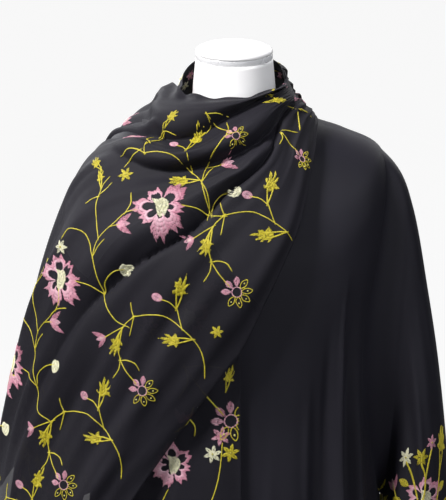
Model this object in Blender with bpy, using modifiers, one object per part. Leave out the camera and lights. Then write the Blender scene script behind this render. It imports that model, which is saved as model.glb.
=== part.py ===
"""A wide-sleeved black abaya with its matching shayla wound over it, on a limbless dress form.

Metres, +Z up, the front of the garment facing -Y, the floor at z = 0 and the stand's pole on the Z axis.
Everything that is worn is laid out around the neck: phi is the direction seen from above, 0 degrees at the
wearer's left (+X), 90 at the front (-Y), 180 at the wearer's right (-X) and 270 at the back (+Y), and s is
the distance down the cloth from the abaya's neck edge.
"""

import math
from typing import NamedTuple

import bmesh
import bpy
import numpy as np

# Driving sizes
CLOTH = 0.002
SEAM_GAP = 0.0007
HEM_S = 1.472
NECK_TILT = math.radians(11.0)
NECK_RADIUS = 0.0530
NECK_TOP_Z = 1.4995
POLE_RADIUS = 0.0125
BASE_RADIUS = 0.19
BASE_HEIGHT = 0.012
TOUCH = 0.0003
ROUNDNESS = 2 / 2.3


class Ring(NamedTuple):
    """One level of the abaya: the body's reach to the wearer's left and right, front and back, the height at the
    side and how far the front and back hang below that, and the mantle's reach over the sleeve on the right."""

    s: float
    left: float
    right: float
    front: float
    back: float
    z_side: float
    front_drop: float
    back_drop: float
    mantle: float


RINGS = [
    Ring(-0.090, 0.0615, 0.0615, 0.0625, 0.0600, 1.4800, 0.029, -0.022, 0.0615),
    Ring(-0.045, 0.0760, 0.0760, 0.0690, 0.0670, 1.4480, 0.032, -0.018, 0.0760),
    Ring(0.000, 0.1040, 0.1040, 0.0820, 0.0740, 1.4170, 0.043, -0.008, 0.1040),
    Ring(0.060, 0.1520, 0.1500, 0.1010, 0.0900, 1.3995, 0.075, 0.014, 0.1500),
    Ring(0.115, 0.1980, 0.1740, 0.1240, 0.1060, 1.3765, 0.112, 0.042, 0.1780),
    Ring(0.150, 0.2080, 0.1820, 0.1330, 0.1130, 1.3480, 0.118, 0.055, 0.1980),
    Ring(0.200, 0.2070, 0.1860, 0.1400, 0.1170, 1.3000, 0.118, 0.062, 0.2170),
    Ring(0.300, 0.1970, 0.1850, 0.1480, 0.1220, 1.2000, 0.105, 0.062, 0.2480),
    Ring(0.420, 0.1930, 0.1880, 0.1520, 0.1300, 1.0800, 0.085, 0.052, 0.2790),
    Ring(0.520, 0.1950, 0.1920, 0.1580, 0.1380, 0.9800, 0.070, 0.045, 0.3080),
    Ring(0.660, 0.2060, 0.2050, 0.1720, 0.1520, 0.8450, 0.052, 0.034, 0.3320),
    Ring(0.900, 0.2620, 0.2620, 0.2050, 0.1850, 0.6100, 0.028, 0.018, 0.3600),
    Ring(1.200, 0.3400, 0.3400, 0.2450, 0.2250, 0.3150, 0.010, 0.006, 0.3900),
    Ring(1.472, 0.4100, 0.4100, 0.2750, 0.2580, 0.0450, 0.000, 0.000, 0.4200),
]


class FormRing(NamedTuple):
    """One level of the dress form, from the neck down."""

    half_width: float
    front: float
    back: float
    z_side: float
    front_drop: float
    back_drop: float


NECK_LEAN = NECK_RADIUS * math.tan(NECK_TILT)

FORM = [
    FormRing(NECK_RADIUS, NECK_RADIUS, NECK_RADIUS, NECK_TOP_Z, NECK_LEAN, -NECK_LEAN),
    FormRing(0.0550, 0.0550, 0.0540, 1.4680, 0.009, -0.009),
    FormRing(0.0580, 0.0580, 0.0565, 1.4410, 0.010, -0.010),
    FormRing(0.0700, 0.0660, 0.0620, 1.4230, 0.024, -0.006),
    FormRing(0.1020, 0.0760, 0.0690, 1.4135, 0.042, 0.000),
    FormRing(0.1480, 0.0960, 0.0840, 1.3966, 0.074, 0.020),
    FormRing(0.1690, 0.1100, 0.0950, 1.3740, 0.104, 0.045),
    FormRing(0.1770, 0.1180, 0.1000, 1.3450, 0.112, 0.055),
    FormRing(0.1700, 0.1280, 0.1040, 1.2900, 0.104, 0.055),
    FormRing(0.1500, 0.1240, 0.1000, 1.2000, 0.075, 0.045),
    FormRing(0.1240, 0.1020, 0.0900, 1.0700, 0.030, 0.020),
    FormRing(0.1580, 0.1150, 0.1080, 0.9300, 0.010, 0.010),
    FormRing(0.1640, 0.1160, 0.1120, 0.8600, 0.000, 0.000),
    FormRing(0.1500, 0.1050, 0.1020, 0.8150, 0.000, 0.000),
]


class SkirtFold(NamedTuple):
    """A soft upright fold of the abaya: where it stands, how wide and high it is, and where it starts."""

    phi: float
    half_angle: float
    height: float
    start: float


SKIRT_FOLDS = [
    SkirtFold(24, 6, 0.008, 0.20),
    SkirtFold(36, 6, -0.009, 0.24),
    SkirtFold(48, 5, 0.011, 0.18),
    SkirtFold(59, 6, -0.013, 0.22),
    SkirtFold(72, 8, 0.009, 0.30),
    SkirtFold(88, 7, -0.010, 0.45),
    SkirtFold(103, 8, 0.010, 0.40),
    SkirtFold(118, 6, -0.012, 0.42),
    SkirtFold(131, 7, 0.011, 0.30),
    SkirtFold(144, 6, -0.010, 0.24),
    SkirtFold(156, 6, 0.008, 0.20),
    SkirtFold(168, 6, -0.011, 0.66),
    SkirtFold(180, 8, 0.014, 0.66),
    SkirtFold(193, 6, -0.010, 0.66),
    SkirtFold(207, 8, 0.012, 0.40),
    SkirtFold(222, 6, -0.014, 0.24),
    SkirtFold(238, 8, 0.012, 0.24),
    SkirtFold(254, 7, -0.012, 0.34),
    SkirtFold(270, 8, 0.012, 0.20),
    SkirtFold(286, 7, -0.013, 0.34),
    SkirtFold(302, 8, 0.011, 0.24),
    SkirtFold(318, 6, -0.014, 0.24),
    SkirtFold(333, 8, 0.012, 0.40),
    SkirtFold(347, 6, -0.010, 0.66),
    SkirtFold(360, 8, 0.014, 0.66),
    SkirtFold(12, 6, -0.011, 0.66),
]
FOLD_GROWTH = 0.55


class Station(NamedTuple):
    """A point on one of the shayla's lengthwise lines: the direction and the distance down."""

    phi: float
    s: float


# The shayla's lengthwise lines from its neck edge (share 0) to its lower edge (share 1). Each runs from the
# left side of the neck, over the chest and the right shoulder, to the end that hangs over the arm.
DRAPE_LINES = {
    0.00: [Station(-14, -0.088), Station(75, -0.089), Station(160, -0.074),
           Station(212, -0.010), Station(230, 0.240), Station(238, 0.500)],
    0.20: [Station(-13, -0.072), Station(66, -0.078), Station(128, -0.014),
           Station(178, 0.055), Station(205, 0.260), Station(220, 0.540)],
    0.45: [Station(-12, -0.048), Station(58, -0.060), Station(100, 0.010),
           Station(150, 0.130), Station(172, 0.380), Station(188, 0.600)],
    0.72: [Station(-11, -0.025), Station(46, -0.038), Station(86, 0.044),
           Station(114, 0.160), Station(135, 0.405), Station(148, 0.680)],
    1.00: [Station(-10, 0.000), Station(32, 0.022), Station(70, 0.112),
           Station(92, 0.290), Station(112, 0.495), Station(130, 0.745)],
}
NECK_LINES = {
    0.0: [Station(-14.55, -0.088), Station(-70, -0.090), Station(-130, -0.088), Station(-190, -0.072)],
    0.5: [Station(-12.75, -0.043), Station(-70, -0.032), Station(-130, -0.032), Station(-190, -0.032)],
    1.0: [Station(-10.38, 0.000), Station(-70, 0.040), Station(-130, 0.040), Station(-190, 0.020)],
}


class Tuck(NamedTuple):
    """A fold along the shayla: its share of the width, its height, how wide it is on its upper and lower
    sides, and the stretch of the length that it runs over."""

    share: float
    height: float
    upper: float
    lower: float
    begin: float
    end: float


DRAPE_TUCKS = [
    Tuck(0.07, 0.010, 0.07, 0.08, 0.10, 0.72),
    Tuck(0.20, 0.009, 0.035, 0.07, 0.10, 0.80),
    Tuck(0.33, 0.009, 0.035, 0.030, 0.36, 0.84),
    Tuck(0.46, 0.009, 0.018, 0.110, 0.08, 0.78),
    Tuck(0.60, 0.005, 0.050, 0.060, 0.30, 0.95),
    Tuck(0.73, 0.012, 0.028, 0.130, 0.06, 0.70),
    Tuck(0.92, 0.004, 0.050, 0.060, 0.10, 1.10),
]
DRAPE_LIFT = 0.0050
BUNDLE_LIFT = 0.010
UNDER_EASE = 0.016
EDGE_EASE = 0.006
BACK_EASE = 0.024
NECK_EDGE_S = -0.090

NECK_TUCKS = [
    Tuck(0.10, 0.007, 0.08, 0.10, -0.50, 1.50),
    Tuck(0.36, 0.005, 0.06, 0.08, -0.50, 1.50),
    Tuck(0.62, 0.006, 0.06, 0.10, -0.50, 1.50),
]
NECK_LIFT = 0.0039


class HangRow(NamedTuple):
    """A level of the shayla's loose end: the distance down and where its two edges hang, from the middle."""

    s: float
    x_outer: float
    x_inner: float


HANG_ROWS = [
    HangRow(-0.030, -0.070, 0.000),
    HangRow(0.100, -0.105, 0.004),
    HangRow(0.400, -0.140, 0.008),
    HangRow(0.860, -0.158, 0.012),
]
HANG_LIFT = 0.0080
HANG_REST = 0.0030
HANG_WAVES = 3.0
HANG_WAVE_HEIGHT = 0.0025


class SleeveRow(NamedTuple):
    """A ring of the sleeve: its share of the way to the cuff, its outer and inner points seen from the front,
    and how far it reaches forward and back."""

    share: float
    outer_x: float
    outer_z: float
    inner_x: float
    inner_z: float
    front: float
    back: float


LEFT_SLEEVE = [
    SleeveRow(0.00, 0.198, 1.3765, 0.190, 0.900, 0.050, 0.050),
    SleeveRow(0.12, 0.227, 1.3480, 0.211, 0.897, 0.086, 0.074),
    SleeveRow(0.30, 0.243, 1.2980, 0.214, 0.888, 0.094, 0.081),
    SleeveRow(0.50, 0.261, 1.2000, 0.215, 0.876, 0.096, 0.083),
    SleeveRow(0.70, 0.280, 1.0800, 0.215, 0.862, 0.096, 0.084),
    SleeveRow(0.86, 0.294, 0.9500, 0.215, 0.848, 0.094, 0.084),
    SleeveRow(1.00, 0.305, 0.8200, 0.216, 0.835, 0.090, 0.082),
]
RIGHT_SLEEVE = [
    SleeveRow(0.00, 0.172, 1.3765, 0.190, 0.900, 0.050, 0.050),
    SleeveRow(0.12, 0.194, 1.3480, 0.205, 0.897, 0.070, 0.060),
    SleeveRow(0.30, 0.211, 1.2980, 0.210, 0.888, 0.074, 0.066),
    SleeveRow(0.50, 0.242, 1.2000, 0.213, 0.876, 0.078, 0.072),
    SleeveRow(0.70, 0.273, 1.0800, 0.215, 0.862, 0.082, 0.076),
    SleeveRow(0.86, 0.299, 0.9500, 0.216, 0.848, 0.086, 0.080),
    SleeveRow(1.00, 0.318, 0.8200, 0.217, 0.835, 0.088, 0.082),
]
ARM_TOP_S = 0.113
ARM_BOTTOM_S = 0.600
ARM_FRONT_ANGLE = 17.0
ARM_BACK_ANGLE = 17.0
ARM_MERGE = 0.45
ARM_SEAM = 0.0020

# Mesh steps of each piece
FRONT_COLUMNS, BACK_COLUMNS, SHOULDER_ROWS, SKIRT_ROWS = 32, 26, 5, 12
SLEEVE_AROUND, SLEEVE_OUT = 24, 9
DRAPE_ACROSS, DRAPE_ALONG = 34, 26
NECK_ACROSS, NECK_ALONG = 10, 18
HANG_ACROSS, HANG_DOWN = 8, 12
FORM_AROUND, FORM_LEVELS = 28, 22
BINDING_AROUND = 36


def smooth(knots, values, at):
    """Smooth curve through the knots, its slope at each taken from the neighbours."""
    knots, values, at = np.asarray(knots), np.asarray(values), np.asarray(at, float)
    slopes = np.gradient(values, knots, axis=0)
    i = np.clip(np.searchsorted(knots, at, side="right") - 1, 0, len(knots) - 2)
    width = (knots[i + 1] - knots[i])[..., None]
    t = (at[..., None] - knots[i][..., None]) / width
    return (
        (2 * t**3 - 3 * t**2 + 1) * values[i]
        + (t**3 - 2 * t**2 + t) * slopes[i] * width
        + (3 * t**2 - 2 * t**3) * values[i + 1]
        + (t**3 - t**2) * slopes[i + 1] * width
    )


def ease_step(value, start, end):
    """0 before start, 1 after end, and a smooth rise between them."""
    t = np.clip((np.asarray(value, float) - start) / (end - start), 0, 1)
    return t * t * (3 - 2 * t)


def oval(phi, half_width, front, back, z_side, front_drop, back_drop, power=ROUNDNESS):
    """Points of an oval ring whose front and back hang lower than its sides; a power of 1 is an ellipse."""
    across, ahead = np.cos(np.radians(phi)), np.sin(np.radians(phi))
    depth = np.where(ahead > 0, front, back)
    x = half_width * np.sign(across) * np.abs(across) ** power
    y = -depth * np.sign(ahead) * np.abs(ahead) ** power
    z = z_side - (front_drop - back_drop) / 2 * ahead - (front_drop + back_drop) / 2 * ahead**2
    return np.stack([x, y, z], -1)


def ring_values(s):
    """The body's sizes at a distance down from the neck edge."""
    table = np.array(RINGS)
    return np.moveaxis(smooth(table[:, 0], table[:, 1:], s), -1, 0)


def body_point(phi, s):
    """The abaya's smooth body, with no folds."""
    left, right, front, back, z_side, front_drop, back_drop, _ = ring_values(s)
    reach = np.where(np.cos(np.radians(phi)) > 0, left, right)
    return oval(phi, reach, front, back, z_side, front_drop, back_drop)


def mantle_point(phi, s):
    """The smooth form that the shayla lies on: the abaya with its sleeves and what hangs under the drape."""
    left, _, front, back, z_side, front_drop, back_drop, mantle = ring_values(s)
    below = ease_step(s, NECK_EDGE_S, 0.02)
    front = front + below * (EDGE_EASE + UNDER_EASE * ease_step(phi, 52, 82))
    back = back + below * BACK_EASE
    reach = np.where(np.cos(np.radians(phi)) > 0, left, mantle)
    return oval(phi, reach, front, back, z_side, front_drop, back_drop)


def outward(surface, phi, s):
    """Unit normals of a surface laid out by phi and s, pointing away from the wearer."""
    d_phi, d_s = 1.0, 0.004
    along = surface(phi + d_phi, s) - surface(phi - d_phi, s)
    down = surface(phi, s + d_s) - surface(phi, s - d_s)
    normal = np.cross(along, down)
    return normal / np.linalg.norm(normal, axis=-1, keepdims=True)


def skirt_folds(phi, s):
    """How far the abaya's folds stand out of its smooth body."""
    height = np.zeros(np.broadcast(phi, s).shape)
    for fold in SKIRT_FOLDS:
        turn = (phi - fold.phi + 180) % 360 - 180
        growth = ease_step(s, fold.start, fold.start + FOLD_GROWTH)
        height = height + fold.height * growth * np.exp(-((turn / fold.half_angle) ** 2))
    return height


def abaya_point(phi, s):
    """The abaya's body with its folds."""
    return body_point(phi, s) + outward(body_point, phi, s) * skirt_folds(phi, s)[..., None]


def arm_edge(s, angle):
    """How far the armhole reaches round from the side seam at a distance down."""
    way = np.clip((s - ARM_TOP_S) / (ARM_BOTTOM_S - ARM_TOP_S), 0, 1)
    return angle * np.sin(math.pi * way) ** 0.5


def tuck_height(tucks, share, along):
    """The relief that a set of folds gives a strip of cloth."""
    height = np.zeros(np.broadcast(share, along).shape)
    for tuck in tucks:
        side = np.where(share < tuck.share, tuck.upper, tuck.lower)
        rise = ease_step(along, tuck.begin, tuck.begin + 0.2)
        fall = 1 - ease_step(along, tuck.end - 0.3, tuck.end)
        height = height + tuck.height * rise * fall * np.exp(-(((share - tuck.share) / side) ** 2))
    return height


def strip_layout(lines, share, along):
    """Direction and distance down of each point of a strip laid between lengthwise lines."""
    shares = np.array(sorted(lines))
    stops = np.linspace(0, 1, len(lines[shares[0]]))
    by_line = np.array([smooth(stops, np.array(lines[key]), along) for key in shares])
    spots = smooth(shares, np.moveaxis(by_line, 0, 0), share)
    return spots


def drape_point(share, along):
    """The shayla's front stretch: from the left of the neck over the chest to the right arm."""
    phi, s = strip_grid(DRAPE_LINES, share, along)
    bundle = ease_step(along, 0.22, 0.42) * (1 - ease_step(along, 0.62, 0.80))
    lift = DRAPE_LIFT + BUNDLE_LIFT * bundle * (1 - ease_step(share, 0.12, 0.27))
    lift = (lift + tuck_height(DRAPE_TUCKS, share, along)) * (0.6 + 0.4 * ease_step(share, 0, 0.10))
    return mantle_point(phi, s) + outward(mantle_point, phi, s) * lift[..., None]


def neck_point(share, along):
    """The shayla's stretch behind the neck."""
    phi, s = strip_grid(NECK_LINES, share, along)
    tuck = tuck_height(NECK_TUCKS, share, along)
    lift = NECK_LIFT + tuck * (1 - 0.8 * ease_step(along, 0.55, 0.90))
    return mantle_point(phi, s) + outward(mantle_point, phi, s) * lift[..., None]


def strip_grid(lines, share, along):
    """Direction and distance down over a grid whose share is one column and along is one row."""
    shares = np.array(sorted(lines))
    stops = np.linspace(0, 1, len(lines[shares[0]]))
    rows = np.array([smooth(stops, np.array(lines[key], float), along[0]) for key in shares])
    spots = smooth(shares, rows.reshape(len(shares), -1), share[:, 0])
    spots = spots.reshape(len(share), len(along[0]), 2)
    return spots[..., 0], spots[..., 1]


def hang_point(across, down):
    """The shayla's loose end, hanging in front under the drape."""
    table = np.array(HANG_ROWS)
    s = table[0, 0] + (table[-1, 0] - table[0, 0]) * down
    edges = smooth(table[:, 0], table[:, 1:], s)
    x = edges[..., 0] + (edges[..., 1] - edges[..., 0]) * across
    half_width = ring_values(s)[1]
    phi = np.degrees(np.arccos(np.sign(x) * (np.abs(x) / half_width) ** (1 / ROUNDNESS)))
    wave = HANG_WAVE_HEIGHT * (1 - np.cos(2 * math.pi * HANG_WAVES * across)) / 2
    free = HANG_REST + (HANG_LIFT * (1 + down / 2) - HANG_REST) * ease_step(down, 0.05, 0.35)
    lift = np.maximum(skirt_folds(phi, s), 0) + free + wave * ease_step(down, 0.05, 0.35)
    return body_point(phi, s) + outward(body_point, phi, s) * lift[..., None]


def arm_level(turn):
    """Distance down of the armhole's edge at a turn from its top (0) to its bottom (pi)."""
    return ARM_TOP_S + (ARM_BOTTOM_S - ARM_TOP_S) * (1 - np.cos(turn)) / 2


def sleeve_point(rows, side, turn, out):
    """A sleeve: turn goes round from the top over the front, out from armhole to cuff, and side is 1 for the
    wearer's left and -1 for the right."""
    s = arm_level(turn)
    angle = np.where(np.sin(turn) > 0, ARM_FRONT_ANGLE, ARM_BACK_ANGLE)
    inset = np.degrees(ARM_SEAM / 0.19)
    edge = np.maximum(arm_edge(s, angle) - inset, 0) * np.where(np.sin(turn) > 0, 1, -1)
    armhole = abaya_point(edge if side > 0 else 180 - edge, s + ARM_SEAM * np.cos(turn))
    table = np.array(rows)
    outer_x, outer_z, inner_x, inner_z, front, back = np.moveaxis(smooth(table[:, 0], table[:, 1:], out), -1, 0)
    top, ahead = (1 + np.cos(turn)) / 2, np.sin(turn)
    x = inner_x + (outer_x - inner_x) * top
    z = inner_z + (outer_z - inner_z) * top
    y = -np.where(ahead > 0, front, back) * np.sign(ahead) * np.abs(ahead) ** ROUNDNESS
    tube = np.stack([side * x, y, z], -1)
    way = np.clip(out / ARM_MERGE, 0, 1)
    outwards, onwards = 1 - (1 - way) ** 3, ease_step(way, 0, 1)
    downwards = onwards + (outwards - onwards) * top
    return armhole + (tube - armhole) * np.stack([outwards, onwards, downwards], -1)


def mesh_object(name, points, faces, material, collection):
    """A named object from a list of points and faces."""
    mesh = bpy.data.meshes.new(name)
    mesh.from_pydata([tuple(p) for p in points], [], faces)
    mesh.update()
    thing = bpy.data.objects.new(name, mesh)
    thing.data.materials.append(material)
    collection.objects.link(thing)
    return thing


def grid_faces(rows, columns, closed):
    """Four-sided faces of a grid of points, closed along its rows for a tube."""
    last = columns if closed else columns - 1
    return [
        (r * columns + c, r * columns + (c + 1) % columns, (r + 1) * columns + (c + 1) % columns, (r + 1) * columns + c)
        for r in range(rows - 1)
        for c in range(last)
    ]


def cloth(name, grid, material, collection, closed=False, thickness=CLOTH):
    """A panel of cloth: an open sheet through a grid of points, given its wall by Solidify."""
    rows, columns = grid.shape[:2]
    faces = grid_faces(rows, columns, closed)
    panel = mesh_object(name, grid.reshape(-1, 3), faces, material, collection)
    panel.data.shade_smooth()
    wall = panel.modifiers.new("wall", "SOLIDIFY")
    wall.thickness = thickness
    wall.offset = 0.0
    return panel


def material(name, colour, roughness, metallic=0.0):
    """A plain finish."""
    made = bpy.data.materials.new(name)
    made.use_nodes = True
    shader = made.node_tree.nodes["Principled BSDF"]
    shader.inputs["Base Color"].default_value = (*colour, 1.0)
    shader.inputs["Roughness"].default_value = roughness
    shader.inputs["Metallic"].default_value = metallic
    return made


def steps(count):
    """Even steps from 0 to 1."""
    return np.linspace(0, 1, count + 1)


def body_levels():
    """The levels of the abaya's panels: the sleeve's own steps down the armhole, wider ones down the skirt."""
    shoulder = np.linspace(0.0, ARM_TOP_S, SHOULDER_ROWS, endpoint=False)
    arm = arm_level(np.linspace(0, math.pi, SLEEVE_AROUND // 2, endpoint=False))
    skirt = np.linspace(ARM_BOTTOM_S, HEM_S, SKIRT_ROWS + 1)
    return np.concatenate([shoulder, arm, skirt])


def abaya_panel(name, from_phi, to_phi, columns, arm_angle, black, collection):
    """The front or back: from the seam on one side to the seam on the other, cut away at the armholes."""
    levels = body_levels()
    grid = []
    for s in levels:
        gap = math.degrees(SEAM_GAP / 2 / float(ring_values(np.array(s))[0]))
        edge = float(arm_edge(s, arm_angle)) + gap
        phi = np.linspace(from_phi + edge, to_phi - edge, columns + 1)
        grid.append(abaya_point(phi, np.full(len(phi), s)))
    return cloth(name, np.array(grid), black, collection)


def sleeve(name, rows, side, black, collection):
    """A wide sleeve from the armhole to its open cuff."""
    turn = np.linspace(0, 2 * math.pi, SLEEVE_AROUND, endpoint=False)
    out = steps(SLEEVE_OUT)
    turns, outs = np.meshgrid(turn, out)
    grid = sleeve_point(rows, side, turns, outs)
    return cloth(name, grid[:, ::-side], black, collection, closed=True)


def neck_binding(black, collection):
    """The narrow binding round the abaya's neck edge."""
    phi = np.linspace(0, 360, BINDING_AROUND, endpoint=False)
    levels = [-0.0120, -0.0060, -0.0014]
    grid = np.array([body_point(phi, np.full(len(phi), s)) for s in levels])
    return cloth("neck_binding", grid, black, collection, closed=True)


def form_body(white, collection):
    """The padded body of the dress form with its neck, closed flat at the neck and at the hips."""
    table = np.array(FORM)
    at = np.linspace(0, len(table) - 1, FORM_LEVELS)
    rows = smooth(np.arange(len(table), dtype=float), table, at)
    phi = np.linspace(0, 360, FORM_AROUND, endpoint=False)
    powers = 1 - (1 - ROUNDNESS) * ease_step(at, 1, 5)
    points = np.array([oval(phi, *row, power) for row, power in zip(rows, powers)])
    points[0, :, 2] = NECK_TOP_Z + points[0, :, 1] * math.tan(NECK_TILT)
    points = points.reshape(-1, 3)
    faces = grid_faces(FORM_LEVELS, FORM_AROUND, True)
    top = tuple(reversed(range(FORM_AROUND)))
    bottom = tuple((FORM_LEVELS - 1) * FORM_AROUND + i for i in range(FORM_AROUND))
    body = mesh_object("form_body", points, faces + [top, bottom], white, collection)
    settle_normals(body)
    body.data.shade_smooth()
    return body


def settle_normals(thing):
    """Turns every face of a closed mesh outwards."""
    work = bmesh.new()
    work.from_mesh(thing.data)
    bmesh.ops.recalc_face_normals(work, faces=work.faces)
    work.to_mesh(thing.data)
    work.free()


def turned(name, profile, finish, collection, segments=36):
    """A piece turned round the Z axis from a profile of radius and height, top to bottom on its outer side."""
    mesh = bpy.data.meshes.new(name)
    points = [(radius, 0.0, z) for radius, z in profile]
    mesh.from_pydata(points, [(i, i + 1) for i in range(len(points) - 1)], [])
    thing = bpy.data.objects.new(name, mesh)
    thing.data.materials.append(finish)
    collection.objects.link(thing)
    screw = thing.modifiers.new("turn", "SCREW")
    screw.steps = screw.render_steps = segments
    screw.use_merge_vertices = True
    screw.merge_threshold = 0.0001
    screw.use_smooth_shade = True
    return thing


def neck_cap(white, steel, collection):
    """The metal ring and the shallow domed cap on the cut of the neck, both tilted with it."""
    radius, ring_height, cap_height, edge = NECK_RADIUS, 0.0075, 0.0125, 0.004
    ring_top = ring_height + TOUCH
    cap_bottom = ring_top + TOUCH
    cap_top = cap_bottom + cap_height
    ring = turned(
        "neck_ring",
        [(0, ring_top), (radius - 0.0004, ring_top), (radius - 0.0004, TOUCH), (0, TOUCH)],
        steel,
        collection,
    )
    rounding = [
        (radius - edge + edge * math.sin(a), cap_top - 0.002 - edge + edge * math.cos(a))
        for a in np.linspace(0.3, math.pi / 2, 5)
    ]
    cap = turned(
        "neck_cap",
        [(0, cap_top), (radius * 0.55, cap_top - 0.0006), (radius * 0.80, cap_top - 0.0014), *rounding,
         (radius, cap_bottom), (0, cap_bottom)],
        white,
        collection,
    )
    for piece in (ring, cap):
        piece.location = (0, 0, NECK_TOP_Z)
        piece.rotation_euler = (NECK_TILT, 0, 0)


def stand(steel, collection):
    """The round foot, the pole and the flange that carries the form."""
    form_bottom = FORM[-1].z_side
    flange_height, flange_radius = 0.012, 0.045
    collar_height, collar_radius = 0.030, 0.022
    rim = 0.003
    turned(
        "stand_foot",
        [(0, BASE_HEIGHT), (BASE_RADIUS - rim, BASE_HEIGHT), (BASE_RADIUS, BASE_HEIGHT - rim), (BASE_RADIUS, 0), (0, 0)],
        steel,
        collection,
        segments=48,
    )
    low, high = BASE_HEIGHT + TOUCH, form_bottom - flange_height - 2 * TOUCH
    turned(
        "stand_pole",
        [(0, high), (POLE_RADIUS, high), (POLE_RADIUS, low + collar_height),
         (collar_radius, low + collar_height), (collar_radius, low), (0, low)],
        steel,
        collection,
        segments=24,
    )
    turned(
        "stand_flange",
        [(0, form_bottom - TOUCH), (flange_radius, form_bottom - TOUCH), (flange_radius, form_bottom - flange_height - TOUCH),
         (0, form_bottom - flange_height - TOUCH)],
        steel,
        collection,
        segments=24,
    )


def main():
    """Builds the abaya, the shayla, the form and the stand."""
    for old in list(bpy.data.objects):
        bpy.data.objects.remove(old)
    collection = bpy.data.collections.new("abaya_on_dress_form")
    bpy.context.scene.collection.children.link(collection)
    black = material("black_crepe", (0.016, 0.015, 0.019), 0.75)
    sheer = material("black_georgette", (0.020, 0.019, 0.023), 0.80)
    white = material("form_white", (0.86, 0.85, 0.84), 0.45)
    steel = material("brushed_metal", (0.62, 0.62, 0.62), 0.30, 1.0)

    form_body(white, collection)
    neck_cap(white, steel, collection)
    stand(steel, collection)

    abaya_panel("abaya_front", 0, 180, FRONT_COLUMNS, ARM_FRONT_ANGLE, black, collection)
    abaya_panel("abaya_back", 180, 360, BACK_COLUMNS, ARM_BACK_ANGLE, black, collection)
    sleeve("sleeve_left", LEFT_SLEEVE, 1, black, collection)
    sleeve("sleeve_right", RIGHT_SLEEVE, -1, black, collection)
    neck_binding(black, collection)

    share, along = np.meshgrid(steps(DRAPE_ACROSS), steps(DRAPE_ALONG), indexing="ij")
    cloth("shayla_front_drape", drape_point(share, along), sheer, collection)
    share, along = np.meshgrid(steps(NECK_ACROSS), steps(NECK_ALONG), indexing="ij")
    cloth("shayla_neck_loop", neck_point(share, along)[:, ::-1], sheer, collection)
    across, down = np.meshgrid(steps(HANG_ACROSS), steps(HANG_DOWN), indexing="ij")
    cloth("shayla_hanging_end", hang_point(across, down), sheer, collection)


main()
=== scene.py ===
"""Looks of a black abaya with its embroidered shayla on a limbless dress form.

Metres, +Z up, the garment's front towards -Y. What is worn is laid out round the neck: phi is the direction
seen from above (0 at the wearer's left, 90 at the front, 180 at the wearer's right, 270 at the back) and s is
the distance down the cloth from the abaya's neck edge.
"""

from __future__ import annotations

import logging
import math
from dataclasses import dataclass, field
from enum import Enum
from typing import Callable, ClassVar

import bmesh
import bpy
import numpy as np
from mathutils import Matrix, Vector

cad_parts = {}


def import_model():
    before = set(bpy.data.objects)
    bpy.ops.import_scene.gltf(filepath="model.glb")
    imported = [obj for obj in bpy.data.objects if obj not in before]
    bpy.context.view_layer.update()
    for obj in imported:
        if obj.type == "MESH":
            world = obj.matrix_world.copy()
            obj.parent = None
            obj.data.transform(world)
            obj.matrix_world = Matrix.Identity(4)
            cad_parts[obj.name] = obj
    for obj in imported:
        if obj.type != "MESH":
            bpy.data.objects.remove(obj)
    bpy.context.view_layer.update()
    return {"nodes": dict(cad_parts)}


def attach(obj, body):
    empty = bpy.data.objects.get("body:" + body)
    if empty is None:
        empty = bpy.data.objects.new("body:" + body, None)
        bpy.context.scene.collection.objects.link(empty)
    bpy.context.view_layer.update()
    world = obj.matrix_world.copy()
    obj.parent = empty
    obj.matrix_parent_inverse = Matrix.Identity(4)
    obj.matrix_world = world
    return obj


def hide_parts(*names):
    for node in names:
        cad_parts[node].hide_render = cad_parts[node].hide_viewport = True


log = logging.getLogger("abaya")
Array = np.ndarray
Colour = tuple[float, float, float]
Tree, Node, Socket = bpy.types.NodeTree, bpy.types.Node, bpy.types.NodeSocket
Piece, Material = bpy.types.Object, bpy.types.Material

ROUNDNESS = 2 / 2.3
ROOT = "root"
UP = np.array([0.0, 0.0, 1.0])
# the colour inputs of a mix node
MIX_A, MIX_B = 6, 7


def smooth(knots: Array, values: Array, at: Array) -> Array:
    """Smooth curve through knots, its slope at each taken from the neighbours.

    Args:
        knots: Rising positions of the knots.
        values: One row of values for each knot.
        at: Positions to read the curve at.

    Returns:
        The values at each position, with the columns last.
    """
    knots, values, at = np.asarray(knots, float), np.asarray(values, float), np.asarray(at, float)
    slopes = np.gradient(values, knots, axis=0)
    i = np.clip(np.searchsorted(knots, at, side="right") - 1, 0, len(knots) - 2)
    width = (knots[i + 1] - knots[i])[..., None]
    t = (at[..., None] - knots[i][..., None]) / width
    return (
        (2 * t**3 - 3 * t**2 + 1) * values[i]
        + (t**3 - 2 * t**2 + t) * slopes[i] * width
        + (3 * t**2 - 2 * t**3) * values[i + 1]
        + (t**3 - t**2) * slopes[i + 1] * width
    )


def ease_step(value: Array, start: float, end: float) -> Array:
    """0 before start, 1 after end and a smooth rise between them."""
    t = np.clip((np.asarray(value, float) - start) / (end - start), 0, 1)
    return t * t * (3 - 2 * t)


def unit(vectors: Array) -> Array:
    """Vectors of length 1 along the ones given."""
    return vectors / np.maximum(np.linalg.norm(vectors, axis=-1, keepdims=True), 1e-9)


def soft_noise(u: Array, v: Array, seed: int) -> Array:
    """Smooth noise between -1 and 1 with one bump for each unit of u and v.

    Args:
        u: First coordinate.
        v: Second coordinate.
        seed: Which noise.

    Returns:
        The noise at each place.
    """
    table = np.random.default_rng(seed).uniform(-1, 1, (64, 64))
    i, j = np.floor(u).astype(int), np.floor(v).astype(int)
    a, b = ease_step(u - i, 0, 1), ease_step(v - j, 0, 1)

    def corner(di: int, dj: int) -> Array:
        """The table's value at a neighbouring corner."""
        return table[(i + di) % 64, (j + dj) % 64]

    low = corner(0, 0) * (1 - a) + corner(1, 0) * a
    high = corner(0, 1) * (1 - a) + corner(1, 1) * a
    return low * (1 - b) + high * b


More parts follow.
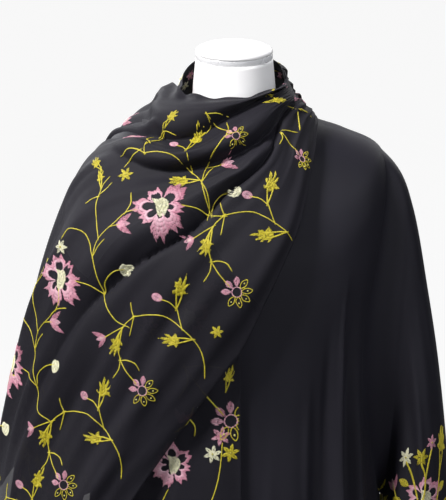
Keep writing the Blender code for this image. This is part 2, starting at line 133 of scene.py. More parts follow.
def oval(phi: Array, half: Array, front: Array, back: Array, z_side: Array, front_drop: Array, back_drop: Array,
         power: float = ROUNDNESS) -> Array:
    """Points of an oval ring whose front and back hang lower than its sides.

    Args:
        phi: Directions in degrees.
        half: Reach to the side.
        front: Reach to the front.
        back: Reach to the back.
        z_side: Height at the side.
        front_drop: How far the front hangs below the side.
        back_drop: How far the back hangs below the side.
        power: 1 for an ellipse and less for fuller corners.

    Returns:
        The points.
    """
    across, ahead = np.cos(np.radians(phi)), np.sin(np.radians(phi))
    depth = np.where(ahead > 0, front, back)
    x = half * np.sign(across) * np.abs(across) ** power
    y = -depth * np.sign(ahead) * np.abs(ahead) ** power
    z = z_side - (front_drop - back_drop) / 2 * ahead - (front_drop + back_drop) / 2 * ahead**2
    return np.stack([x, y, z], -1)


def set_sockets(node: Node, values: dict[str | int, object]) -> Node:
    """Sets a node's input sockets, by name or number."""
    for key, value in values.items():
        node.inputs[key].default_value = value
    return node


class Thread(Enum):
    """The embroidery's threads and its beads."""

    OLIVE = "olive"
    ROSE = "rose"
    CREAM = "cream"
    BEAD = "bead"


@dataclass(frozen=True)
class Rings:
    """Levels of the smooth worn form.

    The columns are s, the reach to the left, right, front and back, the height at the side, the drops of the
    front and back, and the reach of the mantle over the sleeve on the right.
    """

    rows: tuple[tuple[float, ...], ...] = (
        (-0.090, 0.0615, 0.0615, 0.0625, 0.0600, 1.4800, 0.029, -0.022, 0.0615),
        (-0.045, 0.0760, 0.0760, 0.0690, 0.0670, 1.4480, 0.032, -0.018, 0.0760),
        (0.000, 0.1040, 0.1040, 0.0820, 0.0740, 1.4170, 0.043, -0.008, 0.1040),
        (0.060, 0.1520, 0.1500, 0.1010, 0.0900, 1.3995, 0.075, 0.014, 0.1500),
        (0.115, 0.1980, 0.1740, 0.1240, 0.1060, 1.3765, 0.112, 0.042, 0.1780),
        (0.150, 0.2080, 0.1820, 0.1330, 0.1130, 1.3480, 0.118, 0.055, 0.1980),
        (0.200, 0.2070, 0.1860, 0.1400, 0.1170, 1.3000, 0.118, 0.062, 0.2170),
        (0.300, 0.1970, 0.1850, 0.1480, 0.1220, 1.2000, 0.105, 0.062, 0.2480),
        (0.420, 0.1930, 0.1880, 0.1520, 0.1300, 1.0800, 0.085, 0.052, 0.2790),
        (0.520, 0.1950, 0.1920, 0.1580, 0.1380, 0.9800, 0.070, 0.045, 0.3080),
        (0.660, 0.2060, 0.2050, 0.1720, 0.1520, 0.8450, 0.052, 0.034, 0.3320),
        (0.900, 0.2620, 0.2620, 0.2050, 0.1850, 0.6100, 0.028, 0.018, 0.3600),
        (1.200, 0.3400, 0.3400, 0.2450, 0.2250, 0.3150, 0.010, 0.006, 0.3900),
        (1.472, 0.4100, 0.4100, 0.2750, 0.2580, 0.0450, 0.000, 0.000, 0.4200),
    )
    edge_ease: float = 0.006
    under_ease: float = 0.016
    back_ease: float = 0.024

    def at(self, s: Array) -> Array:
        """The sizes at a distance down, one row for each size."""
        table = np.array(self.rows)
        return np.moveaxis(smooth(table[:, 0], table[:, 1:], s), -1, 0)

    def body(self, phi: Array, s: Array) -> Array:
        """The abaya's smooth body."""
        left, right, front, back, z_side, front_drop, back_drop, _ = self.at(s)
        reach = np.where(np.cos(np.radians(phi)) > 0, left, right)
        return oval(phi, reach, front, back, z_side, front_drop, back_drop)

    def mantle(self, phi: Array, s: Array) -> Array:
        """The smooth form that the shayla lies on, over the sleeve and the hanging end."""
        left, _, front, back, z_side, front_drop, back_drop, mantle = self.at(s)
        below = ease_step(s, -0.090, 0.02)
        front = front + below * (self.edge_ease + self.under_ease * ease_step(phi, 52, 82))
        back = back + below * self.back_ease
        reach = np.where(np.cos(np.radians(phi)) > 0, left, mantle)
        return oval(phi, reach, front, back, z_side, front_drop, back_drop)

    @staticmethod
    def outward(surface: Callable[[Array, Array], Array], phi: Array, s: Array) -> Array:
        """Unit normals of a surface laid out by phi and s, away from the wearer."""
        along = surface(phi + 1.0, s) - surface(phi - 1.0, s)
        down = surface(phi, s + 0.004) - surface(phi, s - 0.004)
        return unit(np.cross(along, down))


@dataclass(frozen=True)
class ClothFinish:
    """A woven black cloth: its colour, how much of what is behind shows, and its sheen and weave."""

    name: str
    base: Colour
    light: Colour
    roughness: float
    alpha: float
    sheen: float
    sheen_colour: Colour
    pitch: float
    depth: float
    drift: float = 9.0
    weave_shade: float = 0.35
    relief: float = 0.6
    sheen_spread: float = 0.35
    shine: float = 0.22

    def build(self, kit: ShaderKit) -> Material:
        """The finish as a material.

        Args:
            kit: The shader groups that finishes share.

        Returns:
            The material.
        """
        made, tree, shader = kit.blank(self.name)
        weave = kit.place(tree, kit.weave, {"Pitch": self.pitch})
        uv = tree.nodes.new("ShaderNodeUVMap")
        uv.uv_map = "cloth"
        tree.links.new(uv.outputs["UV"], weave.inputs["Vector"])
        drift = kit.uneven(tree, self.drift)
        colours = kit.mix(tree, drift, self.base, self.light)
        shade = kit.darken(tree, weave.outputs["Shade"], colours, self.weave_shade)
        rough = kit.span(tree, drift, self.roughness - 0.05, self.roughness + 0.06)
        kit.feed(tree, shader, {"Base Color": shade, "Roughness": rough})
        kit.bump(tree, shader, weave.outputs["Height"], self.depth, self.relief)
        set_sockets(shader, {
            "Sheen Weight": self.sheen, "Sheen Roughness": self.sheen_spread, "Sheen Tint": (*self.sheen_colour, 1),
            "Specular IOR Level": self.shine, "Alpha": self.alpha,
        })
        return made


@dataclass(frozen=True)
class ThreadFinish:
    """Embroidery thread in a run of tones from deep to pale, or beads with a harder shine."""

    name: str
    deep: Colour
    middle: Colour
    pale: Colour
    roughness: float
    coat: float = 0.0
    drift: float = 420.0
    ply_shade: float = 0.22

    def build(self, kit: ShaderKit) -> Material:
        """The finish as a material.

        Args:
            kit: The shader groups that finishes share.

        Returns:
            The material.
        """
        made, tree, shader = kit.blank(self.name)
        tone = tree.nodes.new("ShaderNodeAttribute")
        tone.attribute_name = "tone"
        ramp = tree.nodes.new("ShaderNodeValToRGB")
        ramp.color_ramp.elements[0].color = (*self.deep, 1)
        ramp.color_ramp.elements[1].color = (*self.pale, 1)
        ramp.color_ramp.elements.new(0.5).color = (*self.middle, 1)
        tree.links.new(tone.outputs["Fac"], ramp.inputs["Fac"])
        drift = kit.uneven(tree, self.drift)
        shade = kit.darken(tree, drift, ramp.outputs["Color"], self.ply_shade)
        rough = kit.span(tree, drift, self.roughness - 0.08, self.roughness + 0.08)
        kit.feed(tree, shader, {"Base Color": shade, "Roughness": rough})
        set_sockets(shader, {"Specular IOR Level": 0.5, "Coat Weight": self.coat, "Coat Roughness": 0.08})
        return made


@dataclass(frozen=True)
class HardFinish:
    """A smooth hard surface with a trace of handling in its gloss; on the chrome ring its near-white colours are a
    painted reflection of the bright studio.
    """

    name: str
    colour: Colour
    # second colour, mixed in by noise: wear on the form and stand, and part of the painted reflection on the ring
    worn: Colour
    roughness: float
    metallic: float = 0.0
    grain: float = 60.0
    depth: float = 0.00002
    relief: float = 0.4

    def build(self, kit: ShaderKit) -> Material:
        """The finish as a material.

        Args:
            kit: The shader groups that finishes share.

        Returns:
            The material.
        """
        made, tree, shader = kit.blank(self.name)
        drift = kit.uneven(tree, self.grain)
        rough = kit.span(tree, drift, self.roughness * 0.85, self.roughness * 1.25)
        kit.feed(tree, shader, {"Base Color": kit.mix(tree, drift, self.colour, self.worn), "Roughness": rough})
        kit.bump(tree, shader, drift, self.depth, self.relief)
        set_sockets(shader, {"Metallic": self.metallic})
        return made


class ShaderKit:
    """Shader groups that several finishes share, and small helpers to wire them."""

    def __init__(self) -> None:
        """Builds the groups."""
        self.weave = self._weave()
        self.drift = self._drift()

    @staticmethod
    def blank(name: str) -> tuple[Material, Tree, Node]:
        """A new material, its tree and its shader."""
        made = bpy.data.materials.new(name)
        made.use_nodes = True
        return made, made.node_tree, made.node_tree.nodes["Principled BSDF"]

    @staticmethod
    def place(tree: Tree, group: Tree, values: dict[str, float]) -> Node:
        """Puts a group into a material with its own values."""
        node = tree.nodes.new("ShaderNodeGroup")
        node.node_tree = group
        return set_sockets(node, values)

    def uneven(self, tree: Tree, scale: float) -> Socket:
        """A slow drift between 0 and 1 over the piece."""
        drift = self.place(tree, self.drift, {"Scale": scale})
        where = tree.nodes.new("ShaderNodeTexCoord")
        tree.links.new(where.outputs["Object"], drift.inputs["Vector"])
        return drift.outputs["Amount"]

    @staticmethod
    def feed(tree: Tree, node: Node, sources: dict[str, Socket]) -> None:
        """Links a source to each named input of a node."""
        for key, source in sources.items():
            tree.links.new(source, node.inputs[key])

    @classmethod
    def bump(cls, tree: Tree, shader: Node, height: Socket, depth: float,
             strength: float) -> None:
        """Raises the surface that a shader sees by a height."""
        node = set_sockets(tree.nodes.new("ShaderNodeBump"), {"Distance": depth, "Strength": strength})
        cls.feed(tree, node, {"Height": height})
        cls.feed(tree, shader, {"Normal": node.outputs["Normal"]})

    @staticmethod
    def mix(tree: Tree, factor: Socket, low: Colour, high: Colour) -> Socket:
        """A colour between two, by a factor."""
        node = tree.nodes.new("ShaderNodeMix")
        node.data_type = "RGBA"
        set_sockets(node, {MIX_A: (*low, 1), MIX_B: (*high, 1)})
        tree.links.new(factor, node.inputs[0])
        return node.outputs[2]

    @staticmethod
    def darken(tree: Tree, factor: Socket, colour: Socket,
               strength: float) -> Socket:
        """A colour darkened a little where the factor is low."""
        node = tree.nodes.new("ShaderNodeMix")
        node.data_type = "RGBA"
        node.blend_type = "MULTIPLY"
        node.inputs[0].default_value = strength
        tree.links.new(colour, node.inputs[MIX_A])
        tree.links.new(factor, node.inputs[MIX_B])
        return node.outputs[2]

    @staticmethod
    def span(tree: Tree, factor: Socket, low: float, high: float) -> Socket:
        """A number between two, by a factor."""
        node = set_sockets(tree.nodes.new("ShaderNodeMapRange"), {"To Min": low, "To Max": high})
        tree.links.new(factor, node.inputs["Value"])
        return node.outputs["Result"]

    @staticmethod
    def _group(name: str, number: str, outputs: tuple[str, ...]) -> tuple:
        """An empty group with a vector, a number and the named outputs, and its input and output nodes."""
        tree = bpy.data.node_groups.new(name, "ShaderNodeTree")
        tree.interface.new_socket("Vector", in_out="INPUT", socket_type="NodeSocketVector")
        tree.interface.new_socket(number, in_out="INPUT", socket_type="NodeSocketFloat")
        for key in outputs:
            tree.interface.new_socket(key, in_out="OUTPUT", socket_type="NodeSocketFloat")
        return tree, tree.nodes.new("NodeGroupInput"), tree.nodes.new("NodeGroupOutput")

    def _weave(self) -> Tree:
        """Crossing threads with the slight crimp of a crepe: a height and a shade."""
        tree, ins, outs = self._group("crimped_weave", "Pitch", ("Height", "Shade"))
        join = tree.nodes.new("ShaderNodeMath")
        join.operation = "MULTIPLY"
        for k, direction in enumerate("XY"):
            wave = set_sockets(tree.nodes.new("ShaderNodeTexWave"),
                               {"Distortion": 1.2, "Detail": 1.0, "Detail Scale": 1.5})
            wave.bands_direction = direction
            self.feed(tree, wave, {"Vector": ins.outputs["Vector"], "Scale": ins.outputs["Pitch"]})
            tree.links.new(wave.outputs["Fac"], join.inputs[k])
        self.feed(tree, outs, {"Height": join.outputs[0], "Shade": self.span(tree, join.outputs[0], 0.75, 1.15)})
        return tree

    def _drift(self) -> Tree:
        """A slow uneven drift between 0 and 1."""
        tree, ins, outs = self._group("slow_drift", "Scale", ("Amount",))
        noise = set_sockets(tree.nodes.new("ShaderNodeTexNoise"), {"Detail": 3.0})
        self.feed(tree, noise, {"Vector": ins.outputs["Vector"], "Scale": ins.outputs["Scale"]})
        even = set_sockets(tree.nodes.new("ShaderNodeMapRange"), {"From Min": 0.3, "From Max": 0.7})
        self.feed(tree, even, {"Value": noise.outputs["Fac"]})
        self.feed(tree, outs, {"Amount": even.outputs["Result"]})
        return tree


def mesh_piece(name: str, points: Array, faces: list[tuple[int, ...]], finish: Material,
               uv: Array | None = None) -> Piece:
    """A smooth-shaded mesh object at the origin.

    Args:
        name: The piece's name.
        points: Its points.
        faces: Its faces, as rows of point numbers.
        finish: Its material.
        uv: A flat position in metres for each point, for the weave.

    Returns:
        The object, linked to the scene.
    """
    mesh = bpy.data.meshes.new(name)
    mesh.from_pydata(points.reshape(-1, 3).tolist(), [], faces)
    if uv is not None:
        layer = mesh.uv_layers.new(name="cloth")
        corner = np.zeros(len(mesh.loops), dtype=np.int32)
        mesh.loops.foreach_get("vertex_index", corner)
        layer.data.foreach_set("uv", uv.reshape(-1, 2)[corner].astype(np.float32).ravel())
    mesh.materials.append(finish)
    mesh.shade_smooth()
    piece = bpy.data.objects.new(name, mesh)
    bpy.context.scene.collection.objects.link(piece)
    return piece


def grid_faces(rows: int, columns: int, closed: bool = False, start: int = 0) -> list[tuple[int, int, int, int]]:
    """Faces of a grid of points, row by row.

    Args:
        rows: Rows of points.
        columns: Points in a row.
        closed: Whether each row closes on itself.
        start: The number of the grid's first point.

    Returns:
        The faces.
    """
    r, c = np.meshgrid(np.arange(rows - 1), np.arange(columns if closed else columns - 1), indexing="ij")
    n = (c + 1) % columns
    corners = [r * columns + c, r * columns + n, (r + 1) * columns + n, (r + 1) * columns + c]
    return [tuple(face) for face in (np.stack(corners, -1).reshape(-1, 4) + start).tolist()]


def settle(piece: Piece) -> Piece:
    """Applies the piece's modifiers and leaves a plain mesh."""
    deps = bpy.context.evaluated_depsgraph_get()
    mesh = bpy.data.meshes.new_from_object(piece.evaluated_get(deps), preserve_all_data_layers=True, depsgraph=deps)
    piece.modifiers.clear()
    old = piece.data
    piece.data = mesh
    bpy.data.meshes.remove(old)
    return piece


def walled(piece: Piece, thickness: float) -> Piece:
    """Gives an open sheet its thickness, half to each side."""
    wall = piece.modifiers.new("wall", "SOLIDIFY")
    wall.thickness = thickness
    wall.offset = 0.0
    return settle(piece)


def reworked(piece: Piece, change: Callable[[bmesh.types.BMesh], object]) -> Piece:
    """Changes a piece's mesh in place."""
    work = bmesh.new()
    work.from_mesh(piece.data)
    change(work)
    work.to_mesh(piece.data)
    work.free()
    return piece


def welded(piece: Piece, distance: float = 0.00008) -> Piece:
    """Joins points that coincide along a seam."""
    return reworked(piece, lambda work: bmesh.ops.remove_doubles(work, verts=work.verts, dist=distance))


def faced_out(piece: Piece) -> Piece:
    """Turns the faces of a closed piece outwards."""
    return reworked(piece, lambda work: bmesh.ops.recalc_face_normals(work, faces=work.faces))


def mesh_area(piece: Piece) -> float:
    """The area of a piece's faces in square metres."""
    return sum(face.area for face in piece.data.polygons)


@dataclass
class Cloth:
    """A strip of cloth as a fine grid over two shares, with what the needle has to know to sew on it."""

    name: str
    smooth_points: Array
    points: Array
    thickness: float
    normals: Array = field(init=False)
    per_a: Array = field(init=False)
    per_b: Array = field(init=False)
    # how much farther the cloth lies double over its upper share
    UPPER_SHARE: ClassVar[float] = 0.6
    UPPER_EXTRA: ClassVar[float] = 0.17

    def __post_init__(self) -> None:
        """Works out the normals and how far a step of each share goes."""
        rows, columns = self.points.shape[:2]
        self.per_a = np.gradient(self.smooth_points, 1 / (rows - 1), axis=0)
        self.per_b = np.gradient(self.smooth_points, 1 / (columns - 1), axis=1)
        da = np.gradient(self.points, axis=0)
        db = np.gradient(self.points, axis=1)
        self.normals = unit(np.cross(db, da))

    def read(self, table: Array, spots: Array) -> Array:
        """Reads a table of the grid between its points.

        Args:
            table: Values on the grid.
            spots: Rows of the two shares.

        Returns:
            The values at the spots.
        """
        rows, columns = table.shape[:2]
        a = np.clip(spots[:, 0], 0, 1) * (rows - 1)
        b = np.clip(spots[:, 1], 0, 1) * (columns - 1)
        i, j = np.minimum(a.astype(int), rows - 2), np.minimum(b.astype(int), columns - 2)
        u, v = (a - i)[:, None], (b - j)[:, None]
        return (
            table[i, j] * (1 - u) * (1 - v)
            + table[i + 1, j] * u * (1 - v)
            + table[i, j + 1] * (1 - u) * v
            + table[i + 1, j + 1] * u * v
        )

    def walk(self, start: tuple[float, float], moves: Array, turn: float = 0.0, steps: int = 14) -> Array:
        """Goes from a spot by distances across and down, as the cloth hangs.

        Args:
            start: The two shares of the spot to start from.
            moves: Rows of metres to the side (image right on the front) and down.
            turn: Degrees to turn the moves by, clockwise seen from outside.
            steps: How many short steps each move is cut into.

        Returns:
            Rows of the two shares of where each move ends, which may lie off the cloth.
        """
        c, s = math.cos(math.radians(turn)), math.sin(math.radians(turn))
        moves = np.stack([moves[:, 0] * c - moves[:, 1] * s, moves[:, 0] * s + moves[:, 1] * c], -1)
        spots = np.repeat(np.array([start], float), len(moves), axis=0)
        for _ in range(steps):
            a, b = self.read(self.per_a, spots), self.read(self.per_b, spots)
            normal = unit(np.cross(b, a))
            down = unit(-UP - normal * (normal @ -UP)[:, None])
            side = np.cross(normal, down)
            go = (side * moves[:, :1] + down * moves[:, 1:]) / steps
            aa, ab, bb = (a * a).sum(1), (a * b).sum(1), (b * b).sum(1)
            ga, gb = (a * go).sum(1), (b * go).sum(1)
            det = np.maximum(aa * bb - ab * ab, 1e-12)
            spots = spots + np.stack([(ga * bb - gb * ab) / det, (gb * aa - ga * ab) / det], -1)
        return spots

    def make(self, finish: Material, width: float, length: float,
             doubled: tuple[Material, float] | None = None) -> Piece:
        """The strip as a piece of cloth with its wall.

        Args:
            finish: Its material.
            width: Metres over the first share, for the weave.
            length: Metres over the second share.
            doubled: The material where the cloth lies on itself, and how far along that ends.

        Returns:
            The piece.
        """
        rows, columns = self.points.shape[:2]
        a, b = np.meshgrid(np.linspace(0, width, rows), np.linspace(0, length, columns), indexing="ij")
        piece = mesh_piece(self.name, self.points, grid_faces(rows, columns), finish, np.stack([a, b], -1))
        reworked(piece, lambda work: bmesh.ops.reverse_faces(work, faces=work.faces))
        if doubled is not None:
            piece.data.materials.append(doubled[0])
            for index, face in enumerate(piece.data.polygons):
                row, column = divmod(index, columns - 1)
                limit = doubled[1] + (self.UPPER_EXTRA if row < self.UPPER_SHARE * rows else 0.0)
                face.material_index = int(column < limit * columns)
        return walled(piece, self.thickness)


@dataclass
class Sewn:
    """Stitches drawn flat, in metres to the side and down: where each starts and ends, its width and tone."""

    rows: dict[Thread, list[Array]] = field(default_factory=lambda: {thread: [] for thread in Thread})

    def add(self, thread: Thread, starts: Array, ends: Array, width: float, tone: Array | float) -> None:
        """Adds stitches.

        Args:
            thread: The thread.
            starts: Rows of where the stitches start.
            ends: Rows of where they end.
            width: Width of each stitch.
            tone: 0 for the deepest tone and 1 for the palest.
        """
        n = len(starts)
        extra = np.stack([np.full(n, width), np.broadcast_to(tone, n)], -1)
        self.rows[thread].append(np.hstack([starts, ends, extra]))

    def put(self, other: Sewn, at: tuple[float, float] = (0.0, 0.0), turn: float = 0.0) -> None:
        """Adds another drawing, turned, at a place on this one.

        Args:
            other: The drawing to add.
            at: Where its own middle goes.
            turn: Degrees, clockwise on a drawing whose second axis points down.
        """
        c, s = math.cos(math.radians(turn)), math.sin(math.radians(turn))
        spin = np.array([[c, s], [-s, c]])
        for thread, parts in other.rows.items():
            for part in parts:
                copy = part.copy()
                copy[:, 0:2] = part[:, 0:2] @ spin + at
                copy[:, 2:4] = part[:, 2:4] @ spin + at
                self.rows[thread].append(copy)


class Motifs:
    """The embroidery's stems, leaves and flowers, each drawn stitch by stitch."""

    STEM_STEP = 0.0023
    STEM_STITCH = 0.0058
    STEM_WIDTH = 0.00155
    FILL_STEP = 0.00105
    FILL_STITCH = 0.0042
    FILL_WIDTH = 0.0013
    OVERLAP = 0.0003
    SPOKE = 0.00088

    def __init__(self, seed: int) -> None:
        """Sets the seed that every small irregularity comes from."""
        self.chance = np.random.default_rng(seed)

    def curve(self, points: list[tuple[float, float]], step: float) -> Array:
        """A smooth curve through points given in millimetres, cut into even steps."""
        spots = np.array(points, float) / 1000
        knots = np.concatenate([[0], np.cumsum(np.linalg.norm(np.diff(spots, axis=0), axis=1))])
        fine = smooth(knots, spots, np.linspace(0, knots[-1], 60)) if len(spots) > 2 else spots
        run = np.concatenate([[0], np.cumsum(np.linalg.norm(np.diff(fine, axis=0), axis=1))])
        at = np.linspace(0, run[-1], max(2, int(run[-1] / step) + 1))
        return np.stack([np.interp(at, run, fine[:, i]) for i in (0, 1)], -1)

    def stem(self, points: list[tuple[float, float]], width: float = STEM_WIDTH, tone: float = 0.55) -> Sewn:
        """A stem in overlapping slanted stitches.

        Args:
            points: The stem's course in millimetres.
            width: Width of the stem.
            tone: Middle tone of the thread.

        Returns:
            The stitches.
        """
        drawn = Sewn()
        line = self.curve(points, self.STEM_STEP)
        ahead = unit(np.gradient(line, axis=0))
        aside = np.stack([ahead[:, 1], -ahead[:, 0]], -1)
        reach = self.STEM_STITCH / 2
        slant = aside * width * 0.22
        tones = tone + self.chance.normal(0, 0.13, len(line))
        drawn.add(Thread.OLIVE, line - ahead * reach + slant, line + ahead * reach - slant, width, tones)
        return drawn

    def hands(self, drawn: Sewn, width: float = STEM_WIDTH, tone: float = 0.55) -> tuple[Callable, Callable]:
        """Two helpers that sew onto a drawing, at places in millimetres.

        Args:
            drawn: The drawing.
            width: Width of its stems.
            tone: Middle tone of its stems.

        Returns:
            One that adds a stem through points, and one that adds a motif at a place, turned.
        """

        def stem(*points: tuple[float, float]) -> None:
            """Adds a stem."""
            drawn.put(self.stem(list(points), width, tone))

        def add(what: Sewn, x: float, y: float, turn: float = 0.0) -> None:
            """Adds a motif."""
            drawn.put(what, (x / 1000, y / 1000), turn)

        return stem, add

    def fill(self, thread: Thread, outline: Array, angle: float, tone: float, spread: float = 0.15) -> Sewn:
        """Fills an outline with rows of short stitches.

        Args:
            thread: The thread.
            outline: Rows of the outline's corners in metres.
            angle: Direction of the stitches in degrees.
            tone: Middle tone.
            spread: How much the tone varies.

        Returns:
            The stitches.
        """
        drawn = Sewn()
        c, s = math.cos(math.radians(angle)), math.sin(math.radians(angle))
        turned = outline @ np.array([[c, -s], [s, c]])
        low, high = turned[:, 1].min(), turned[:, 1].max()
        starts, ends = [], []
        closed = np.vstack([turned, turned[:1]])
        step, stitch = self.FILL_STEP, self.FILL_STITCH
        for y in np.arange(low + step / 2, high, step):
            a, b = closed[:-1], closed[1:]
            hit = (a[:, 1] > y) != (b[:, 1] > y)
            xs = np.sort(a[hit, 0] + (y - a[hit, 1]) * (b[hit, 0] - a[hit, 0]) / (b[hit, 1] - a[hit, 1]))
            for x0, x1 in zip(xs[::2], xs[1::2]):
                count = max(1, round((x1 - x0) / stitch))
                cuts = np.linspace(x0, x1, count + 1)
                cuts[1:-1] += self.chance.uniform(-0.3, 0.3, count - 1) * stitch
                for left, right in zip(cuts[:-1], cuts[1:]):
                    starts.append((left - self.OVERLAP, y))
                    ends.append((right + self.OVERLAP, y + self.chance.uniform(-0.25, 0.25) * step))
        if starts:
            back = np.array([[c, s], [-s, c]])
            n = len(starts)
            tones = tone + self.chance.normal(0, spread, n)
            drawn.add(thread, np.array(starts) @ back, np.array(ends) @ back, self.FILL_WIDTH, tones)
        return drawn

    @staticmethod
    def leaf_outline(length: float, width: float, belly: float = 0.45) -> Array:
        """A pointed drop from the origin up, in metres: its widest place is at a share of its length."""
        t = np.linspace(0, 1, 9)
        half = width / 2 * np.sin(math.pi * t ** (math.log(0.5) / math.log(belly))) ** 0.8
        right = np.stack([half, -t * length], -1)
        left = np.stack([-half, -t * length], -1)[::-1][1:-1]
        return np.vstack([right, left])

    def bloom(self, radius: float) -> Sewn:
        """The big flower: ruffled petals stitched round black hollows, and a pale heart.

        Args:
            radius: From the middle to the petals' tips, in metres.

        Returns:
            The stitches.
        """
        drawn = Sewn()
        # direction, half angle, reach, tone and the hollow's size of each petal
        petals = (
            (-112, 30, 0.92, 0.62, 0.42), (-52, 28, 1.08, 0.40, 0.44), (2, 22, 0.86, 0.50, 0.24),
            (46, 24, 0.98, 0.56, 0.28), (94, 22, 1.04, 0.68, 0.20), (140, 25, 0.96, 0.74, 0.32),
            (188, 25, 0.92, 0.62, 0.42),
        )
        for middle, half, reach, tone, hollow in petals:
            middle, reach = middle + self.chance.normal(0, 3.5), reach * (1 + self.chance.normal(0, 0.09))
            steps = int(math.radians(2 * half) * radius / self.SPOKE)
            teeth = self.chance.uniform(0.25, 0.42), self.chance.uniform(0.60, 0.78)
            for k in range(steps):
                t = (k + 0.5) / steps
                angle = math.radians(middle - half + 2 * half * t)
                crown = math.sin(math.pi * t) ** 0.5
                points = sum(0.17 * max(0.0, 1 - abs(t - tooth) / 0.12) for tooth in teeth)
                outer = radius * reach * (0.64 + 0.18 * crown + points + self.chance.uniform(-0.03, 0.03))
                inner = radius * (0.24 + hollow * math.sin(math.pi * t) ** 0.6)
                inner = min(inner, outer - 0.0045)
                ray = np.array([math.cos(angle), math.sin(angle)])
                lean = np.array([-ray[1], ray[0]]) * self.chance.uniform(-0.0014, 0.0014)
                cuts = np.linspace(inner, outer, max(2, round((outer - inner) / 0.0050)) + 1)
                cuts[1:-1] += self.chance.uniform(-0.0012, 0.0012, len(cuts) - 2)
                starts = ray * cuts[:-1, None] - lean * 0.5
                ends = ray * (cuts[1:, None] + 0.0006) + lean * 0.5
                shade = tone + 0.22 - 0.34 * np.linspace(0, 1, len(starts)) + self.chance.normal(0, 0.10, len(starts))
                drawn.add(Thread.ROSE, starts, ends, 0.00135, shade)
        heart = np.array([(-0.38, -0.34), (-0.12, -0.30), (0.04, -0.38), (0.26, -0.24), (0.30, -0.02), (0.24, 0.16),
                          (0.20, 0.32), (0.02, 0.40), (-0.08, 0.30), (-0.16, 0.10), (-0.20, -0.10)]) * radius
        drawn.put(self.fill(Thread.CREAM, heart, 28, 0.58, 0.18))
        return drawn

    def bud(self, size: float) -> Sewn:
        """A small oval bud, deep at its rim and pale inside."""
        drawn = Sewn()
        t = np.linspace(0, 2 * math.pi, 14, endpoint=False)
        shape = np.stack([0.36 * size * np.cos(t), -0.5 * size + 0.5 * size * np.sin(t)], -1)
        drawn.put(self.fill(Thread.ROSE, shape, 8, 0.80, 0.12))
        rim = np.vstack([shape, shape[:1]])
        drawn.add(Thread.ROSE, rim[:-1], rim[1:], 0.0013, 0.45)
        return drawn

    def tulip(self, size: float, pale: bool = False) -> Sewn:
        """An open bell with three pointed petals."""
        drawn = Sewn()
        for turn, length, width, tone in ((-38, 0.95, 0.30, 0.45), (0, 0.72, 0.34, 0.75), (36, 1.0, 0.30, 0.35)):
            leaf = self.leaf_outline(size * length, size * width, 0.42)
            drawn.put(self.fill(Thread.ROSE, leaf, 90, tone, 0.14), turn=turn)
        heart = self.leaf_outline(size * 0.42, size * 0.46, 0.5)
        drawn.put(self.fill(Thread.ROSE, heart, 0, 0.6, 0.14), (0, size * 0.06))
        if pale:
            centre = self.leaf_outline(size * 0.34, size * 0.2, 0.5)
            drawn.put(self.fill(Thread.CREAM, centre, 90, 0.7), (0, -size * 0.12))
        return drawn

    def puff(self, size: float) -> Sewn:
        """A cream seed head shaped like a soft heart."""
        t = np.linspace(0, 2 * math.pi, 18, endpoint=False)
        r = size / 2 * (0.86 + 0.18 * np.abs(np.sin(t / 2 + 0.9)) - 0.22 * np.exp(-(((t - 4.71) / 0.35) ** 2)))
        return self.fill(Thread.CREAM, np.stack([r * np.cos(t), r * np.sin(t)], -1), 20, 0.65, 0.18)

    def half_flower(self, size: float) -> Sewn:
        """A flower with rose petals on one side and olive ones with a bead each on the other."""
        drawn = Sewn()
        for turn in (-150, -108, -62):
            petal = self.leaf_outline(size * 0.62, size * 0.34, 0.55)
            drawn.put(self.fill(Thread.ROSE, petal, 90, 0.62, 0.14), self.on_ring(size * 0.30, turn), turn + 90)
        for turn in (-20, 22, 64, 106, 148):
            petal = self.leaf_outline(size * 0.68, size * 0.32, 0.5)
            ring = np.vstack([petal, petal[:1]])
            loop = Sewn()
            loop.add(Thread.OLIVE, ring[:-1], ring[1:], 0.0015, 0.5)
            loop.add(Thread.BEAD, np.array([[0, -size * 0.34]]), np.array([[0, -size * 0.34 - 0.002]]), 0.0022, 0.7)
            drawn.put(loop, self.on_ring(size * 0.28, turn), turn + 90)
        t = np.linspace(0, 2 * math.pi, 13)
        ring = np.stack([size * 0.30 * np.cos(t), size * 0.30 * np.sin(t)], -1)
        drawn.add(Thread.ROSE, ring[:-1], ring[1:], 0.0017, 0.72)
        return drawn

    @staticmethod
    def on_ring(radius: float, turn: float) -> tuple[float, float]:
        """A place on a circle, the angle measured from the side towards down."""
        return radius * math.cos(math.radians(turn)), radius * math.sin(math.radians(turn))

    def star(self, size: float, thread: Thread, tone: float) -> Sewn:
        """A small flower of six pointed petals with a bead in the middle."""
        drawn = Sewn()
        for k in range(6):
            petal = self.leaf_outline(size, size * 0.42, 0.42)
            drawn.put(self.fill(thread, petal, 90, tone, 0.14), turn=60 * k + 12)
        drawn.add(Thread.BEAD, np.array([[0.0, -0.0012]]), np.array([[0.0, 0.0012]]), 0.0026, 0.5)
        return drawn

